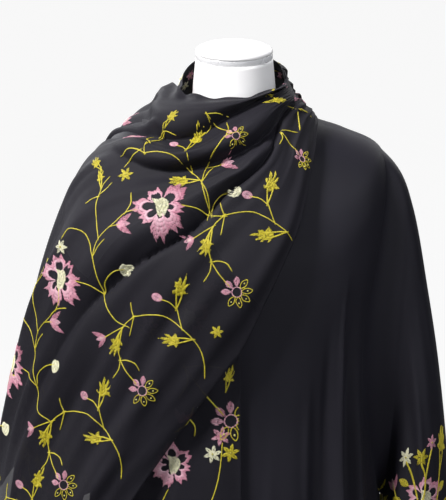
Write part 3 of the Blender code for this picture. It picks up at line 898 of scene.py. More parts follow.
    def spray(self, size: float) -> Sewn:
        """An olive leaf spray: two stalks close together and a crown of blunt lobes."""
        drawn = Sewn()
        k = size * 1000
        stem, _ = self.hands(drawn, 0.0021, 0.45)
        stem((0, 0), (-0.05 * k, -0.28 * k), (-0.10 * k, -0.62 * k))
        stem((0, 0), (0.06 * k, -0.26 * k), (0.10 * k, -0.62 * k))
        palm = np.array([
            (-0.04, -0.40), (-0.09, -0.46), (-0.17, -0.48), (-0.20, -0.55), (-0.13, -0.58), (-0.10, -0.62),
            (-0.16, -0.70), (-0.17, -0.80), (-0.11, -0.80), (-0.07, -0.72), (-0.08, -0.86), (-0.05, -1.00),
            (0.01, -0.92), (0.01, -0.76), (0.05, -0.86), (0.10, -1.04), (0.14, -0.96), (0.10, -0.74),
            (0.16, -0.82), (0.22, -0.86), (0.21, -0.74), (0.13, -0.62), (0.21, -0.58), (0.26, -0.50),
            (0.17, -0.47), (0.09, -0.46), (0.05, -0.40),
        ])
        palm = palm * size * (1 + self.chance.normal(0, 0.05, palm.shape))
        drawn.put(self.fill(Thread.OLIVE, palm, 74, 0.50, 0.18))
        return drawn

    def twig(self, size: float) -> Sewn:
        """A forked shoot with one hooked tip."""
        k = size * 1000
        drawn = Sewn()
        stem, _ = self.hands(drawn)
        stem((0, 0), (0.10 * k, -0.5 * k), (0.42 * k, -0.92 * k))
        stem((0.06 * k, -0.36 * k), (-0.20 * k, -0.62 * k), (-0.24 * k, -0.86 * k))
        return drawn

    def crest(self, link: tuple[float, float] = (38.0, 37.0), crown: bool = True) -> Sewn:
        """The upper half of the trailing branch, its origin where the big flower's stalk joins.

        Args:
            link: Where the lower half starts, in millimetres.
            crown: Whether the arcs at the top are in it.

        Returns:
            The stitches.
        """
        drawn = Sewn()
        stem, add = self.hands(drawn)
        x, y = link
        stem((0, 0), (x * 0.30, y * 0.56), (x * 0.56, y * 0.85), (x, y))
        stem((0, 0), (-16, -9), (-34, -12))
        add(self.bloom(0.0345), -62, -10)
        stem((1, -3), (1, -14), (6, -24), (14, -32), (22, -35))
        add(self.puff(0.019), 28, -35)
        stem((0, 0), (-7, -22), (-13, -46))
        stem((-13, -46), (-10, -69), (7, -93), (18, -107), (31, -112))
        stem((-12, -48), (-6, -62), (-2, -68))
        stem((17, -106), (20, -120), (17, -132))
        level = -89 if crown else -74
        stem((2 if crown else -8, level + 3), (8, level + 1), (12, level))
        add(self.tulip(0.024), 11, level, 78)
        if crown:
            stem((-13, -46), (-22, -62), (-34, -73), (-50, -77), (-66, -73), (-71, -62))
            add(self.star(0.010, Thread.CREAM, 0.7), -70, -50, 10)
            stem((-10, -70), (-25, -99), (-31, -122), (-32, -140), (-28, -150))
            stem((-31, -122), (-42, -116), (-46, -112))
            stem((-30, -126), (-22, -138), (-20, -142))
            add(self.spray(0.030), -34, -134, -36)
        return drawn

    def bough(self, lower: bool = True) -> Sewn:
        """The lower half of the trailing branch, its origin where it forks.

        Args:
            lower: Whether the hanging part with the half flower is in it.

        Returns:
            The stitches.
        """
        drawn = Sewn()
        stem, add = self.hands(drawn)
        stem((0, 0), (19, -4), (37, -4), (50, 2), (63, 11), (76, 23), (87, 39), (91, 54), (92, 71))
        stem((62, 10), (57, -4), (53, -17))
        add(self.spray(0.043), 53, -14, 8)
        stem((52, -15), (44, -22), (34, -25))
        add(self.bud(0.0135), 35, -25, -70)
        add(self.spray(0.040), 76, 23, -98)
        stem((0, 0), (-3, -7), (-5, -15))
        if not lower:
            stem((0, 0), (-14, -4), (-27, -4), (-36, 3))
            stem((-8, -3), (-20, 6), (-25, 16))
            return drawn
        stem((0, 1), (-2, 12), (-4, 23))
        stem((0, 0), (-12, 12), (-18, 23), (-20, 39), (-16, 58))
        stem((-16, 58), (-7, 57), (4, 61), (8, 67))
        stem((-16, 57), (-18, 70), (-24, 80))
        stem((-16, 58), (-7, 72), (5, 86))
        add(self.half_flower(0.021), 15, 94, -28)
        stem((-13, 14), (-26, 22), (-38, 30))
        add(self.tulip(0.018, True), -38, 30, -112)
        add(self.spray(0.037), -15, 17, 197)
        return drawn

    def lily(self, size: float) -> Sewn:
        """A narrow pink flower with two long curled petals and a cream throat."""
        drawn = Sewn()
        for turn, length, tone in ((-24, 1.0, 0.4), (10, 0.8, 0.7), (30, 1.05, 0.5)):
            leaf = self.leaf_outline(size * length, size * 0.22, 0.35)
            drawn.put(self.fill(Thread.ROSE, leaf, 90, tone, 0.14), turn=turn)
        drawn.put(self.fill(Thread.CREAM, self.leaf_outline(size * 0.45, size * 0.14, 0.5), 90, 0.7), (0, -size * 0.10))
        return drawn

    def fork(self, size: float) -> Sewn:
        """A forked shoot that ends in a half flower."""
        k = size * 1000
        drawn = Sewn()
        stem, add = self.hands(drawn)
        stem((0, 0), (0.22 * k, 0.30 * k), (0.55 * k, 0.68 * k))
        stem((0, 0), (0.28 * k, -0.03 * k), (0.52 * k, 0.0))
        stem((0, 0), (0.04 * k, 0.22 * k), (-0.06 * k, 0.42 * k))
        add(self.half_flower(0.018), 0.68 * k, 0.80 * k, -30)
        return drawn

    def bouquet(self) -> Sewn:
        """The tall group that stands on the cuffs and on the shayla's ends, its foot at the origin."""
        drawn = Sewn()
        stem, add = self.hands(drawn, 0.0027, 0.45)
        stem((0, 0), (-3, -40), (-6, -76), (-16, -112), (-24, -128))
        stem((-4, -60), (4, -92), (4, -112), (0, -124))
        stem((-3, -44), (-22, -66), (-42, -82), (-48, -96))
        stem((0, -30), (20, -60), (30, -96), (38, -128))
        stem((14, -48), (34, -64), (48, -70))
        stem((-2, -24), (-26, -40), (-40, -42))
        add(self.star(0.0135, Thread.CREAM, 0.72), -26, -136, 6)
        add(self.star(0.0125, Thread.OLIVE, 0.42), 0, -134, 20)
        add(self.star(0.011, Thread.ROSE, 0.5), 20, -150, 0)
        stem((4, -100), (12, -126), (18, -140))
        add(self.bloom(0.031), 4, -78, 25)
        add(self.spray(0.058), 36, -112, 14)
        add(self.spray(0.050), 46, -64, 52)
        add(self.spray(0.046), -36, -38, -60)
        add(self.tulip(0.024, True), -48, -92, -24)
        for x, y, turn in ((-30, -74, -70), (-14, -56, 48), (18, -58, -36), (26, -84, 62), (-20, -96, -58)):
            leaf = self.fill(Thread.OLIVE, self.leaf_outline(0.021, 0.010, 0.5), 90, 0.46, 0.14)
            leaf.add(Thread.BEAD, np.array([[0, -0.008]]), np.array([[0, -0.010]]), 0.0021, 0.6)
            add(leaf, x, y, turn)
        add(self.half_flower(0.020), 0, -24, 0)
        return drawn


class Needle:
    """Sews drawings onto cloth and gathers the stitches of each thread for the whole garment."""

    SKIP_SHORT = 0.35
    SKIP_LONG = 1.55
    POINTS_A_PIECE = 11500

    def __init__(self) -> None:
        """Starts with no stitches."""
        self.laid: dict[tuple[str, Thread], list[Array]] = {}

    def sew(self, cloth: Cloth, drawn: Sewn, start: tuple[float, float], turn: float = 0.0, scale: float = 1.0,
            margin: float = 0.004) -> None:
        """Lays a drawing on a cloth.

        Args:
            cloth: What it is sewn on.
            drawn: The drawing.
            start: The two shares of the spot where its middle goes.
            turn: Degrees to turn it by.
            scale: Its size.
            margin: The share of the cloth at each edge that stays bare.
        """
        for thread, parts in drawn.rows.items():
            if not parts:
                continue
            rows = np.vstack(parts)
            ends = [cloth.walk(start, rows[:, i : i + 2] * scale, turn) for i in (0, 2)]
            inside = np.all([(e > margin) & (e < 1 - margin) for e in ends], axis=(0, 2))
            first, last = (cloth.read(cloth.points, e) for e in ends)
            normal = unit(cloth.read(cloth.normals, (ends[0] + ends[1]) / 2))
            flat = np.linalg.norm(rows[:, 2:4] - rows[:, 0:2], axis=1) * scale
            real = np.linalg.norm(last - first, axis=1)
            keep = inside & (real < flat * self.SKIP_LONG + 0.0006) & (real > flat * self.SKIP_SHORT)
            if not keep.any():
                continue
            width = rows[:, 4] * (0.5 + 0.5 * scale)
            height = np.where(rows[:, 4] > 0.002, rows[:, 4] * 0.62, rows[:, 4] * 0.75)
            if thread is Thread.BEAD:
                height = width
            lift = cloth.thickness / 2 + height * 0.22
            middle = (first + last) / 2 + normal * lift[:, None]
            table = np.hstack([middle, unit(last - first), normal, real[:, None] * 1.12, width[:, None],
                               height[:, None], rows[:, 5:6]])
            self.laid.setdefault((cloth.name, thread), []).append(table[keep])

    def count(self) -> int:
        """How many stitches have been laid."""
        return sum(len(part) for parts in self.laid.values() for part in parts)

    def finish(self, materials: dict[Thread, Material],
               trees: dict[Thread, StitchTree]) -> dict[str, list[Piece]]:
        """Makes the stitches of every cloth and thread into meshes.

        Args:
            materials: Material of each thread.
            trees: The tree that builds each thread's stitches.

        Returns:
            The pieces, by the name of the cloth they are sewn on.
        """
        made: dict[str, list[Piece]] = {}
        for (cloth, thread), parts in self.laid.items():
            rows = np.vstack(parts)
            pieces = -(-len(rows) // self.POINTS_A_PIECE)
            for k, chunk in enumerate(np.array_split(rows, pieces)):
                name = f"{cloth}_{thread.value}_stitches" + (f"_{k + 1}" if pieces > 1 else "")
                piece = trees[thread].grow(name, chunk, materials[thread])
                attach(piece, ROOT)
                made.setdefault(cloth, []).append(piece)
        return made


class StitchTree:
    """Geometry Nodes that set a small tapered stitch or a bead on every point, turned along its thread."""

    def __init__(self, name: str, segments: int, rings: int, uneven: float, seed: int) -> None:
        """Builds the tree.

        Args:
            name: Its name.
            segments: Sides of a stitch.
            rings: Rings of a stitch from end to end.
            uneven: How much the widths vary.
            seed: The seed of that variation.
        """
        self.segments, self.rings, self.uneven, self.seed = segments, rings, uneven, seed
        tree = self.tree = bpy.data.node_groups.new(name, "GeometryNodeTree")
        face = tree.interface
        face.new_socket("Geometry", in_out="INPUT", socket_type="NodeSocketGeometry")
        self.keys = {
            key: face.new_socket(key, in_out="INPUT", socket_type=kind).identifier
            for key, kind in (("Segments", "NodeSocketInt"), ("Rings", "NodeSocketInt"), ("Uneven", "NodeSocketFloat"),
                              ("Seed", "NodeSocketInt"), ("Material", "NodeSocketMaterial"))
        }
        face.new_socket("Geometry", in_out="OUTPUT", socket_type="NodeSocketGeometry")
        new = tree.nodes.new
        ins, outs = new("NodeGroupInput"), new("NodeGroupOutput")
        ball = set_sockets(new("GeometryNodeMeshUVSphere"), {"Radius": 0.5})
        round_it, axes = new("GeometryNodeSetShadeSmooth"), new("FunctionNodeAxesToRotation")
        axes.primary_axis, axes.secondary_axis = "Z", "X"
        vary = new("FunctionNodeRandomValue")
        vary.data_type = "FLOAT"
        low, high = (set_sockets(new("ShaderNodeMath"), {0: 1.0}) for _ in range(2))
        low.operation, high.operation = "SUBTRACT", "ADD"
        size, spread = new("ShaderNodeVectorMath"), new("GeometryNodeInstanceOnPoints")
        size.operation = "SCALE"
        real, paint = new("GeometryNodeRealizeInstances"), new("GeometryNodeSetMaterial")
        for begin, end in (
            (ins.outputs["Segments"], ball.inputs["Segments"]), (ins.outputs["Rings"], ball.inputs["Rings"]),
            (ball.outputs["Mesh"], round_it.inputs["Geometry"]),
            (self._stored("along"), axes.inputs["Primary Axis"]), (self._stored("out"), axes.inputs["Secondary Axis"]),
            (ins.outputs["Uneven"], low.inputs[1]), (ins.outputs["Uneven"], high.inputs[1]),
            (low.outputs[0], vary.inputs[2]), (high.outputs[0], vary.inputs[3]),
            (ins.outputs["Seed"], vary.inputs["Seed"]),
            (self._stored("size"), size.inputs[0]), (vary.outputs[1], size.inputs["Scale"]),
            (ins.outputs["Geometry"], spread.inputs["Points"]),
            (round_it.outputs["Geometry"], spread.inputs["Instance"]),
            (axes.outputs["Rotation"], spread.inputs["Rotation"]), (size.outputs[0], spread.inputs["Scale"]),
            (spread.outputs["Instances"], real.inputs["Geometry"]),
            (real.outputs["Geometry"], paint.inputs["Geometry"]),
            (ins.outputs["Material"], paint.inputs["Material"]), (paint.outputs["Geometry"], outs.inputs["Geometry"]),
        ):
            tree.links.new(begin, end)

    def _stored(self, name: str) -> Socket:
        """Output of a stored vector."""
        node = self.tree.nodes.new("GeometryNodeInputNamedAttribute")
        node.data_type = "FLOAT_VECTOR"
        node.inputs["Name"].default_value = name
        return node.outputs["Attribute"]

    def grow(self, name: str, rows: Array, material: Material) -> Piece:
        """Builds the stitches of a table as one mesh.

        Args:
            name: The piece's name.
            rows: Middle, direction, outward normal, length, width, height and tone of each stitch.
            material: The thread's material.

        Returns:
            The piece.
        """
        mesh = bpy.data.meshes.new(name + "_points")
        mesh.vertices.add(len(rows))
        mesh.vertices.foreach_set("co", rows[:, 0:3].astype(np.float32).ravel())
        sizes = rows[:, [11, 10, 9]]
        for key, values in (("along", rows[:, 3:6]), ("out", rows[:, 6:9]), ("size", sizes)):
            layer = mesh.attributes.new(key, "FLOAT_VECTOR", "POINT")
            layer.data.foreach_set("vector", values.astype(np.float32).ravel())
        tone = mesh.attributes.new("tone", "FLOAT", "POINT")
        tone.data.foreach_set("value", np.clip(rows[:, 12], 0.02, 0.98).astype(np.float32))
        piece = bpy.data.objects.new(name, mesh)
        bpy.context.scene.collection.objects.link(piece)
        grown = piece.modifiers.new("stitches", "NODES")
        grown.node_group = self.tree
        settings = {"Segments": self.segments, "Rings": self.rings, "Uneven": self.uneven, "Seed": self.seed,
                    "Material": material}
        for key, value in settings.items():
            grown[self.keys[key]] = value
        settle(piece)
        for key in ("along", "out", "size"):
            if key in piece.data.attributes:
                piece.data.attributes.remove(piece.data.attributes[key])
        return piece


@dataclass
class Abaya:
    """The black abaya: body and wide sleeves in one seamless cloth, and the neck binding as a piece of its own."""

    rings: Rings
    thickness: float = 0.0010
    hem: float = 1.472
    arm_top: float = 0.113
    arm_bottom: float = 0.600
    arm_angle: float = 30.0
    merge: float = 0.45
    seam_tuck: float = 0.022
    around: int = 120
    out: int = 54
    # direction, half angle, height and start of each upright fold
    folds: tuple[tuple[float, float, float, float], ...] = (
        (35, 4, 0.010, 0.14), (42, 4, -0.008, 0.20), (50, 4, 0.012, 0.18), (60, 5, -0.014, 0.22),
        (72, 8, 0.009, 0.30), (88, 7, -0.010, 0.45), (103, 8, 0.010, 0.40), (118, 6, -0.012, 0.42),
        (131, 7, 0.011, 0.30), (144, 6, -0.010, 0.24), (156, 6, 0.008, 0.20), (168, 6, -0.011, 0.66),
        (180, 8, 0.014, 0.66), (193, 6, -0.010, 0.66), (207, 8, 0.012, 0.40), (222, 6, -0.014, 0.24),
        (238, 8, 0.012, 0.24), (254, 7, -0.012, 0.34), (270, 8, 0.012, 0.20), (286, 7, -0.013, 0.34),
        (302, 8, 0.011, 0.24), (318, 6, -0.014, 0.24), (333, 8, 0.012, 0.40), (347, 6, -0.010, 0.66),
        (360, 8, 0.014, 0.66), (12, 6, -0.011, 0.66),
    )
    # sharper creases that only the cloth shows: direction, half angle, height, start and end
    creases: tuple[tuple[float, float, float, float, float], ...] = (
        (47.0, 1.5, 0.0072, 0.20, 0.95), (53.5, 2.4, -0.0060, 0.24, 0.90), (63.0, 2.0, 0.0040, 0.30, 0.85),
        (41.0, 1.9, -0.0040, 0.26, 0.90), (36.0, 1.8, 0.0040, 0.34, 1.05), (79.0, 1.8, 0.0026, 0.40, 1.10),
        (95.0, 2.0, 0.0024, 0.40, 1.10), (110.0, 1.8, 0.0026, 0.40, 1.10), (137.0, 2.0, 0.0026, 0.40, 1.10),
        (232.0, 2.0, 0.0034, 0.18, 1.00), (247.0, 1.8, 0.0026, 0.24, 1.10), (263.0, 2.0, 0.0030, 0.16, 0.95),
        (278.0, 2.0, 0.0030, 0.16, 1.00), (294.0, 1.8, 0.0026, 0.24, 1.10), (309.0, 2.0, 0.0034, 0.18, 1.00),
    )
    # share, outer x and z, inner x and z, and reach to the front and back of each ring of a sleeve
    left_sleeve: tuple[tuple[float, ...], ...] = (
        (0.00, 0.198, 1.3765, 0.190, 0.900, 0.050, 0.050), (0.12, 0.227, 1.3480, 0.211, 0.897, 0.070, 0.074),
        (0.30, 0.243, 1.2980, 0.2060, 0.888, 0.068, 0.081), (0.50, 0.261, 1.2000, 0.2040, 0.876, 0.068, 0.083),
        (0.70, 0.280, 1.0800, 0.1980, 0.862, 0.076, 0.084), (0.86, 0.294, 0.9500, 0.1925, 0.848, 0.085, 0.084),
        (1.00, 0.305, 0.8200, 0.1925, 0.835, 0.090, 0.082),
    )
    right_sleeve: tuple[tuple[float, ...], ...] = (
        (0.00, 0.172, 1.3765, 0.190, 0.900, 0.050, 0.050), (0.12, 0.194, 1.3480, 0.205, 0.897, 0.070, 0.060),
        (0.30, 0.211, 1.2980, 0.210, 0.888, 0.074, 0.066), (0.50, 0.242, 1.2000, 0.213, 0.876, 0.078, 0.072),
        (0.70, 0.273, 1.0800, 0.215, 0.862, 0.082, 0.076), (0.86, 0.299, 0.9500, 0.216, 0.848, 0.086, 0.080),
        (1.00, 0.318, 0.8200, 0.217, 0.835, 0.088, 0.082),
    )

    # soft folds round a sleeve: height, turn, how far the turn drifts on the way out, and half width
    ripples: tuple[tuple[float, float, float, float], ...] = (
        (0.0045, 1.15, 0.25, 0.11), (-0.005, 1.55, 0, 0.16), (0.0055, 2.05, 0, 0.15),
        (-0.003, 0.75, 0, 0.14), (0.005, 4.5, 0, 0.14), (-0.005, 5.0, 0, 0.16),
    )
    tuck_reach: float = 0.16
    # distance down and stand-out of the binding's folded profile
    binding_profile: tuple[tuple[float, float], ...] = (
        (0.002, 0.0008), (0.001, 0.0017), (-0.005, 0.0019), (-0.0105, 0.0016), (-0.0125, 0.0004),
        (-0.0118, -0.0008), (-0.005, -0.0010), (0.002, -0.0010),
    )

    def relief(self, phi: Array, s: Array) -> Array:
        """How far the folds and creases stand out of the smooth body."""
        height = np.zeros(np.broadcast(phi, s).shape)
        for middle, half, high, start in self.folds:
            turn = (phi - middle + 180) % 360 - 180
            height = height + high * ease_step(s, start, start + 0.55) * np.exp(-((turn / half) ** 2))
        for middle, half, high, start, end in self.creases:
            slant = 2.2 * (s - start) * math.copysign(1, math.cos(math.radians(middle)))
            turn = (phi - middle - slant + 180) % 360 - 180
            grow = ease_step(s, start, start + 0.16) * (1 - ease_step(s, end - 0.3, end))
            height = height + high * grow * np.exp(-((turn / half) ** 2))
        grow = ease_step(s, 0.10, 0.40)
        return height + 0.0012 * grow * soft_noise((phi % 360) / 5.625, s * 3.2 + 7, 3)

    def body(self, phi: Array, s: Array) -> Array:
        """The abaya's body with its folds."""
        normal = self.rings.outward(self.rings.body, phi, s)
        return self.rings.body(phi, s) + normal * self.relief(phi, s)[..., None]

    def arm_edge(self, s: Array) -> Array:
        """How far round from the side the armhole reaches at a distance down."""
        way = np.clip((s - self.arm_top) / (self.arm_bottom - self.arm_top), 0, 1)
        return self.arm_angle * np.sin(math.pi * way) ** 0.5

    def arm_level(self, turn: Array) -> Array:
        """Distance down of the armhole's edge at a turn from its top."""
        return self.arm_top + (self.arm_bottom - self.arm_top) * (1 - np.cos(turn)) / 2

    def panel(self, start: float, end: float, columns: int) -> Array:
        """A grid of the front or the back, cut away at the armholes."""
        levels = np.concatenate([
            np.linspace(0.0, self.arm_top, 16, endpoint=False),
            self.arm_level(np.linspace(0, math.pi, self.around // 2, endpoint=False)),
            np.linspace(self.arm_bottom, self.hem, 66),
        ])
        edge = self.arm_edge(levels)
        share = np.linspace(0, 1, columns + 1)
        phi = (start + edge)[:, None] + (end - start - 2 * edge)[:, None] * share
        return self.body(phi, np.repeat(levels[:, None], columns + 1, axis=1))

    def sleeve(self, rows: tuple[tuple[float, ...], ...], side: int, plain: bool = False) -> Array:
        """A grid of one sleeve, one row for each step out and one column for each step round.

        Args:
            rows: The sleeve's table.
            side: 1 for the wearer's left and -1 for the right.
            plain: Whether to leave the soft folds out.

        Returns:
            The grid, its first column repeated at its end.
        """
        turn, out = np.meshgrid(np.linspace(0, 2 * math.pi, self.around + 1), np.linspace(0, 1, self.out + 1))
        s = self.arm_level(turn)
        edge = self.arm_edge(s) * np.where(np.sin(turn) > 0, 1, -1)
        hole = self.body(edge if side > 0 else 180 - edge, s)
        table = np.array(rows)
        outer_x, outer_z, inner_x, inner_z, front, back = np.moveaxis(smooth(table[:, 0], table[:, 1:], out), -1, 0)
        top, ahead = (1 + np.cos(turn)) / 2, np.sin(turn)
        shown = 0.0 if plain else 1.0
        ripple = shown * ease_step(out, 0.25, 0.8) * sum(
            high * np.exp(-(((turn - middle - drift * out) / half) ** 2)) for high, middle, drift, half in self.ripples)
        x = inner_x + (outer_x - inner_x) * top
        z = inner_z + (outer_z - inner_z) * top
        y = -(np.where(ahead > 0, front, back) * np.abs(ahead) ** ROUNDNESS + ripple) * np.sign(ahead)
        tube = np.stack([side * x, y, z], -1)
        way = np.clip(out / self.merge, 0, 1)
        outwards, onwards = 1 - (1 - way) ** 3, ease_step(way, 0, 1)
        downwards = onwards + (outwards - onwards) * top
        grid = hole + (tube - hole) * np.stack([outwards, onwards, downwards], -1)
        below = ease_step(np.minimum(turn, 2 * math.pi - turn), 0.10, 1.1)
        tuck = self.seam_tuck * out / self.tuck_reach * np.exp(1 - out / self.tuck_reach) * below
        grid[..., 1] += shown * tuck * np.sign(ahead)
        return grid

    def cuff_cloth(self, rows: tuple[tuple[float, ...], ...], side: int) -> Cloth:
        """A sleeve as the needle sees it: the first share runs down to the cuff and the second goes round."""
        fine, plain = self.sleeve(rows, side), self.sleeve(rows, side, True)
        if side < 0:
            fine, plain = fine[:, ::-1], plain[:, ::-1]
        return Cloth("abaya_sleeve_" + ("left" if side > 0 else "right"), plain, fine, self.thickness)

    def make(self, finish: Material) -> Piece:
        """Builds the abaya as one cloth.

        Args:
            finish: The cloth's material.

        Returns:
            The piece.
        """
        grids = (self.panel(0, 180, 132), self.panel(180, 360, 108), self.sleeve(self.left_sleeve, 1),
                 self.sleeve(self.right_sleeve, -1)[:, ::-1])
        points, faces, flat = [], [], []
        for grid in grids:
            rows, columns = grid.shape[:2]
            faces += grid_faces(rows, columns, False, sum(len(p) for p in points))
            points.append(grid.reshape(-1, 3))
            across_down = np.meshgrid(np.linspace(0, 1.1, columns), np.linspace(0, 1.47, rows))
            flat.append(np.stack(across_down, -1).reshape(-1, 2))
        piece = mesh_piece("abaya_cloth", np.vstack(points), faces, finish, np.vstack(flat))
        return walled(welded(piece), self.thickness)

    def binding(self, finish: Material) -> Piece:
        """The narrow folded binding round the neck edge."""
        phi = np.linspace(0, 360, 180, endpoint=False)
        rows = []
        for s, lift in self.binding_profile:
            level = np.full(len(phi), s)
            normal = self.rings.outward(self.rings.body, phi, level)
            rows.append(self.rings.body(phi, level) + normal * lift)
        grid = np.array([*rows, rows[0]])[::-1]
        piece = mesh_piece("abaya_neck_binding", grid, grid_faces(len(grid), len(phi), True), finish,
                           np.zeros((*grid.shape[:2], 2)))
        return welded(piece)


@dataclass
class Shayla:
    """The matching sheer scarf: the stretch over the chest, the one behind the neck and the loose end."""

    rings: Rings
    abaya: Abaya
    thickness: float = 0.0006
    # share of the width to stations of direction and distance down, along the length
    lines: tuple[tuple[float, tuple[tuple[float, float], ...]], ...] = (
        (0.00, ((-14, -0.088), (75, -0.089), (160, -0.074), (212, -0.010), (230, 0.240), (238, 0.500))),
        (0.20, ((-13, -0.072), (66, -0.078), (128, -0.014), (178, 0.055), (205, 0.260), (220, 0.540))),
        (0.45, ((-12, -0.048), (58, -0.060), (100, 0.010), (150, 0.130), (172, 0.380), (188, 0.600))),
        (0.72, ((-11, -0.025), (46, -0.038), (86, 0.044), (114, 0.160), (135, 0.405), (148, 0.680))),
        (1.00, ((-10, 0.000), (32, 0.022), (70, 0.112), (92, 0.290), (112, 0.495), (130, 0.745))),
    )
    neck_lines: tuple[tuple[float, tuple[tuple[float, float], ...]], ...] = (
        (0.0, ((-14.55, -0.088), (-70, -0.090), (-130, -0.088), (-190, -0.072))),
        (0.5, ((-12.75, -0.043), (-70, -0.032), (-130, -0.032), (-190, -0.032))),
        (1.0, ((-10.38, 0.000), (-70, 0.040), (-130, 0.040), (-190, 0.020))),
    )
    # soft folds: share, height, width of the upper and lower side, and the stretch each runs over
    tucks: tuple[tuple[float, ...], ...] = (
        (0.100, 0.0020, 0.016, 0.014, 0.40, 0.80), (0.138, -0.0080, 0.015, 0.012, 0.42, 0.80),
        (0.170, 0.0030, 0.014, 0.012, 0.44, 0.80), (0.204, -0.0070, 0.014, 0.011, 0.44, 0.84),
        (0.238, 0.0050, 0.018, 0.013, 0.46, 0.86), (0.272, -0.0035, 0.014, 0.026, 0.48, 0.80),
        (0.330, 0.0040, 0.020, 0.040, 0.62, 1.10), (0.400, -0.0015, 0.020, 0.020, 0.60, 1.10),
        (0.470, 0.0046, 0.030, 0.050, 0.60, 1.20), (0.570, 0.0030, 0.018, 0.026, 0.52, 1.05),
        (0.650, 0.0040, 0.030, 0.040, 0.62, 1.20), (0.790, 0.0034, 0.022, 0.030, 0.40, 1.00),
        (0.865, 0.0046, 0.030, 0.034, 0.36, 1.15), (0.950, 0.0040, 0.026, 0.024, 0.10, 1.15),
        (0.870, 0.0040, 0.016, 0.060, -0.10, 0.50),
    )
    # creases that part the rolls: where each stands at the stations of the length
    crease_at: tuple[float, ...] = (0.00, 0.10, 0.18, 0.24, 0.30, 0.36, 0.42, 0.49, 0.56, 0.64, 0.72, 0.85, 1.00)
    creases: tuple[tuple[float, ...], ...] = (
        (0.120, 0.130, 0.150, 0.185, 0.210, 0.218, 0.222, 0.208, 0.180, 0.160, 0.150, 0.150, 0.150),
        (0.560, 0.640, 0.690, 0.690, 0.610, 0.500, 0.430, 0.424, 0.345, 0.225, 0.220, 0.220, 0.220),
        (0.580, 0.660, 0.705, 0.700, 0.620, 0.508, 0.438, 0.430, 0.462, 0.435, 0.410, 0.400, 0.400),
        (0.600, 0.680, 0.725, 0.722, 0.724, 0.720, 0.716, 0.735, 0.718, 0.668, 0.620, 0.600, 0.600),
    )
    # the roll between two creases: upper and lower crease, height, peak, and the stretch it runs over
    rolls: tuple[tuple[float, ...], ...] = (
        (-1, 0, 0.0170, 0.74, 0.02, 0.16, 0.46, 0.60), (0, 1, 0.0240, 0.66, 0.02, 0.20, 0.46, 0.62),
        (2, 3, 0.0225, 0.70, 0.20, 0.36, 0.58, 0.92), (3, 4, 0.0180, 0.14, 0.00, 0.14, 0.56, 0.84),
    )
    neck_tucks: tuple[tuple[float, ...], ...] = (
        (0.10, 0.0065, 0.050, 0.10, -0.5, 1.5), (0.24, 0.0030, 0.020, 0.06, -0.5, 1.5),
        (0.38, 0.0060, 0.020, 0.10, -0.5, 1.5), (0.52, 0.0026, 0.020, 0.05, -0.5, 1.5),
        (0.64, 0.0062, 0.022, 0.12, -0.5, 1.5), (0.82, 0.0024, 0.030, 0.05, -0.5, 1.5),
    )
    # the stepped outline over the shoulder: share of the width and how far it stands out there
    steps: tuple[tuple[float, float], ...] = (
        (0.000, 0.009), (0.040, 0.014), (0.066, 0.011), (0.086, -0.001), (0.112, -0.002), (0.134, -0.005),
        (0.156, -0.013), (0.172, -0.004), (0.184, -0.002), (0.197, -0.008), (0.222, -0.003), (0.246, 0.002),
        (0.278, 0.012), (0.340, 0.013), (0.600, 0.009), (0.900, 0.000), (1.000, 0.000),
    )
    # uneven rumples: height, number and offset over the width and the length, seed, and where they grow in
    rumples: tuple[tuple[float, ...], ...] = (
        (0.0014, 30, 9, 4.5, 2, 21, 0.16, 0.34), (0.0066, 12, 4, 5.0, 5, 8, 0.36, 0.62),
        (0.0034, 30, 5, 11, 3, 17, 0.45, 0.70),
    )
    loop_lift: float = 0.0039
    # distance down and the two edges of the loose end, from the middle
    hang_rows: tuple[tuple[float, float, float], ...] = (
        (-0.030, -0.070, 0.000), (0.100, -0.105, 0.004), (0.400, -0.140, 0.008), (0.860, -0.158, 0.012),
    )

    @staticmethod
    def spots(lines: tuple, share: Array, along: Array) -> tuple[Array, Array]:
        """Direction and distance down over a grid of the two shares."""
        keys = np.array([key for key, _ in lines])
        stops = np.linspace(0, 1, len(lines[0][1]))
        rows = np.array([smooth(stops, np.array(line, float), along) for _, line in lines])
        flat = smooth(keys, rows.reshape(len(keys), -1), share).reshape(len(share), len(along), 2)
        return flat[..., 0], flat[..., 1]

    @staticmethod
    def tuck_height(tucks: tuple, share: Array, along: Array) -> Array:
        """The relief that folds running along a strip give it."""
        height = np.zeros(np.broadcast(share, along).shape)
        for middle, high, upper, lower, begin, end in tucks:
            side = np.where(share < middle, upper, lower)
            grow = ease_step(along, begin, begin + 0.2) * (1 - ease_step(along, end - 0.3, end))
            height = height + high * grow * np.exp(-(((share - middle) / side) ** 2))
        return height

    def roll_height(self, share: Array, along: Array) -> Array:
        """The relief of the rolls, each a soft swell that meets the next in a sharp crease."""
        lines = np.array([smooth(np.array(self.crease_at), np.array(line)[:, None], along)[..., 0]
                          for line in self.creases])
        height = np.zeros(np.broadcast(share, along).shape)
        for upper, lower, high, peak, grow, grown, fade, faded in self.rolls:
            start = lines[int(upper)] if upper >= 0 else np.zeros_like(height) - 0.02
            end = lines[int(lower)] if lower < len(lines) else np.ones_like(height) * 1.06
            way = np.clip((share - start) / np.maximum(end - start, 0.02), 0, 1)
            swell = np.sin(math.pi * way ** (math.log(0.5) / math.log(peak))) ** 0.62
            wide = np.clip((end - start) / 0.12, 0.25, 1)
            height = height + high * swell * wide * ease_step(along, grow, grown) * (1 - ease_step(along, fade, faded))
        return height

    @staticmethod
    def collar_dip(phi: Array) -> Array:
        """How far the collar's front edge hangs lower than its smooth course, round the neck."""
        dip = 0.0125 * np.exp(-(((phi - 18) / 24) ** 2)) + 0.0080 * np.exp(-(((phi - 146) / 20) ** 2))
        return dip + 0.0034 * np.exp(-(((phi - 76) / 8) ** 2)) - 0.0026 * np.exp(-(((phi - 98) / 9) ** 2))

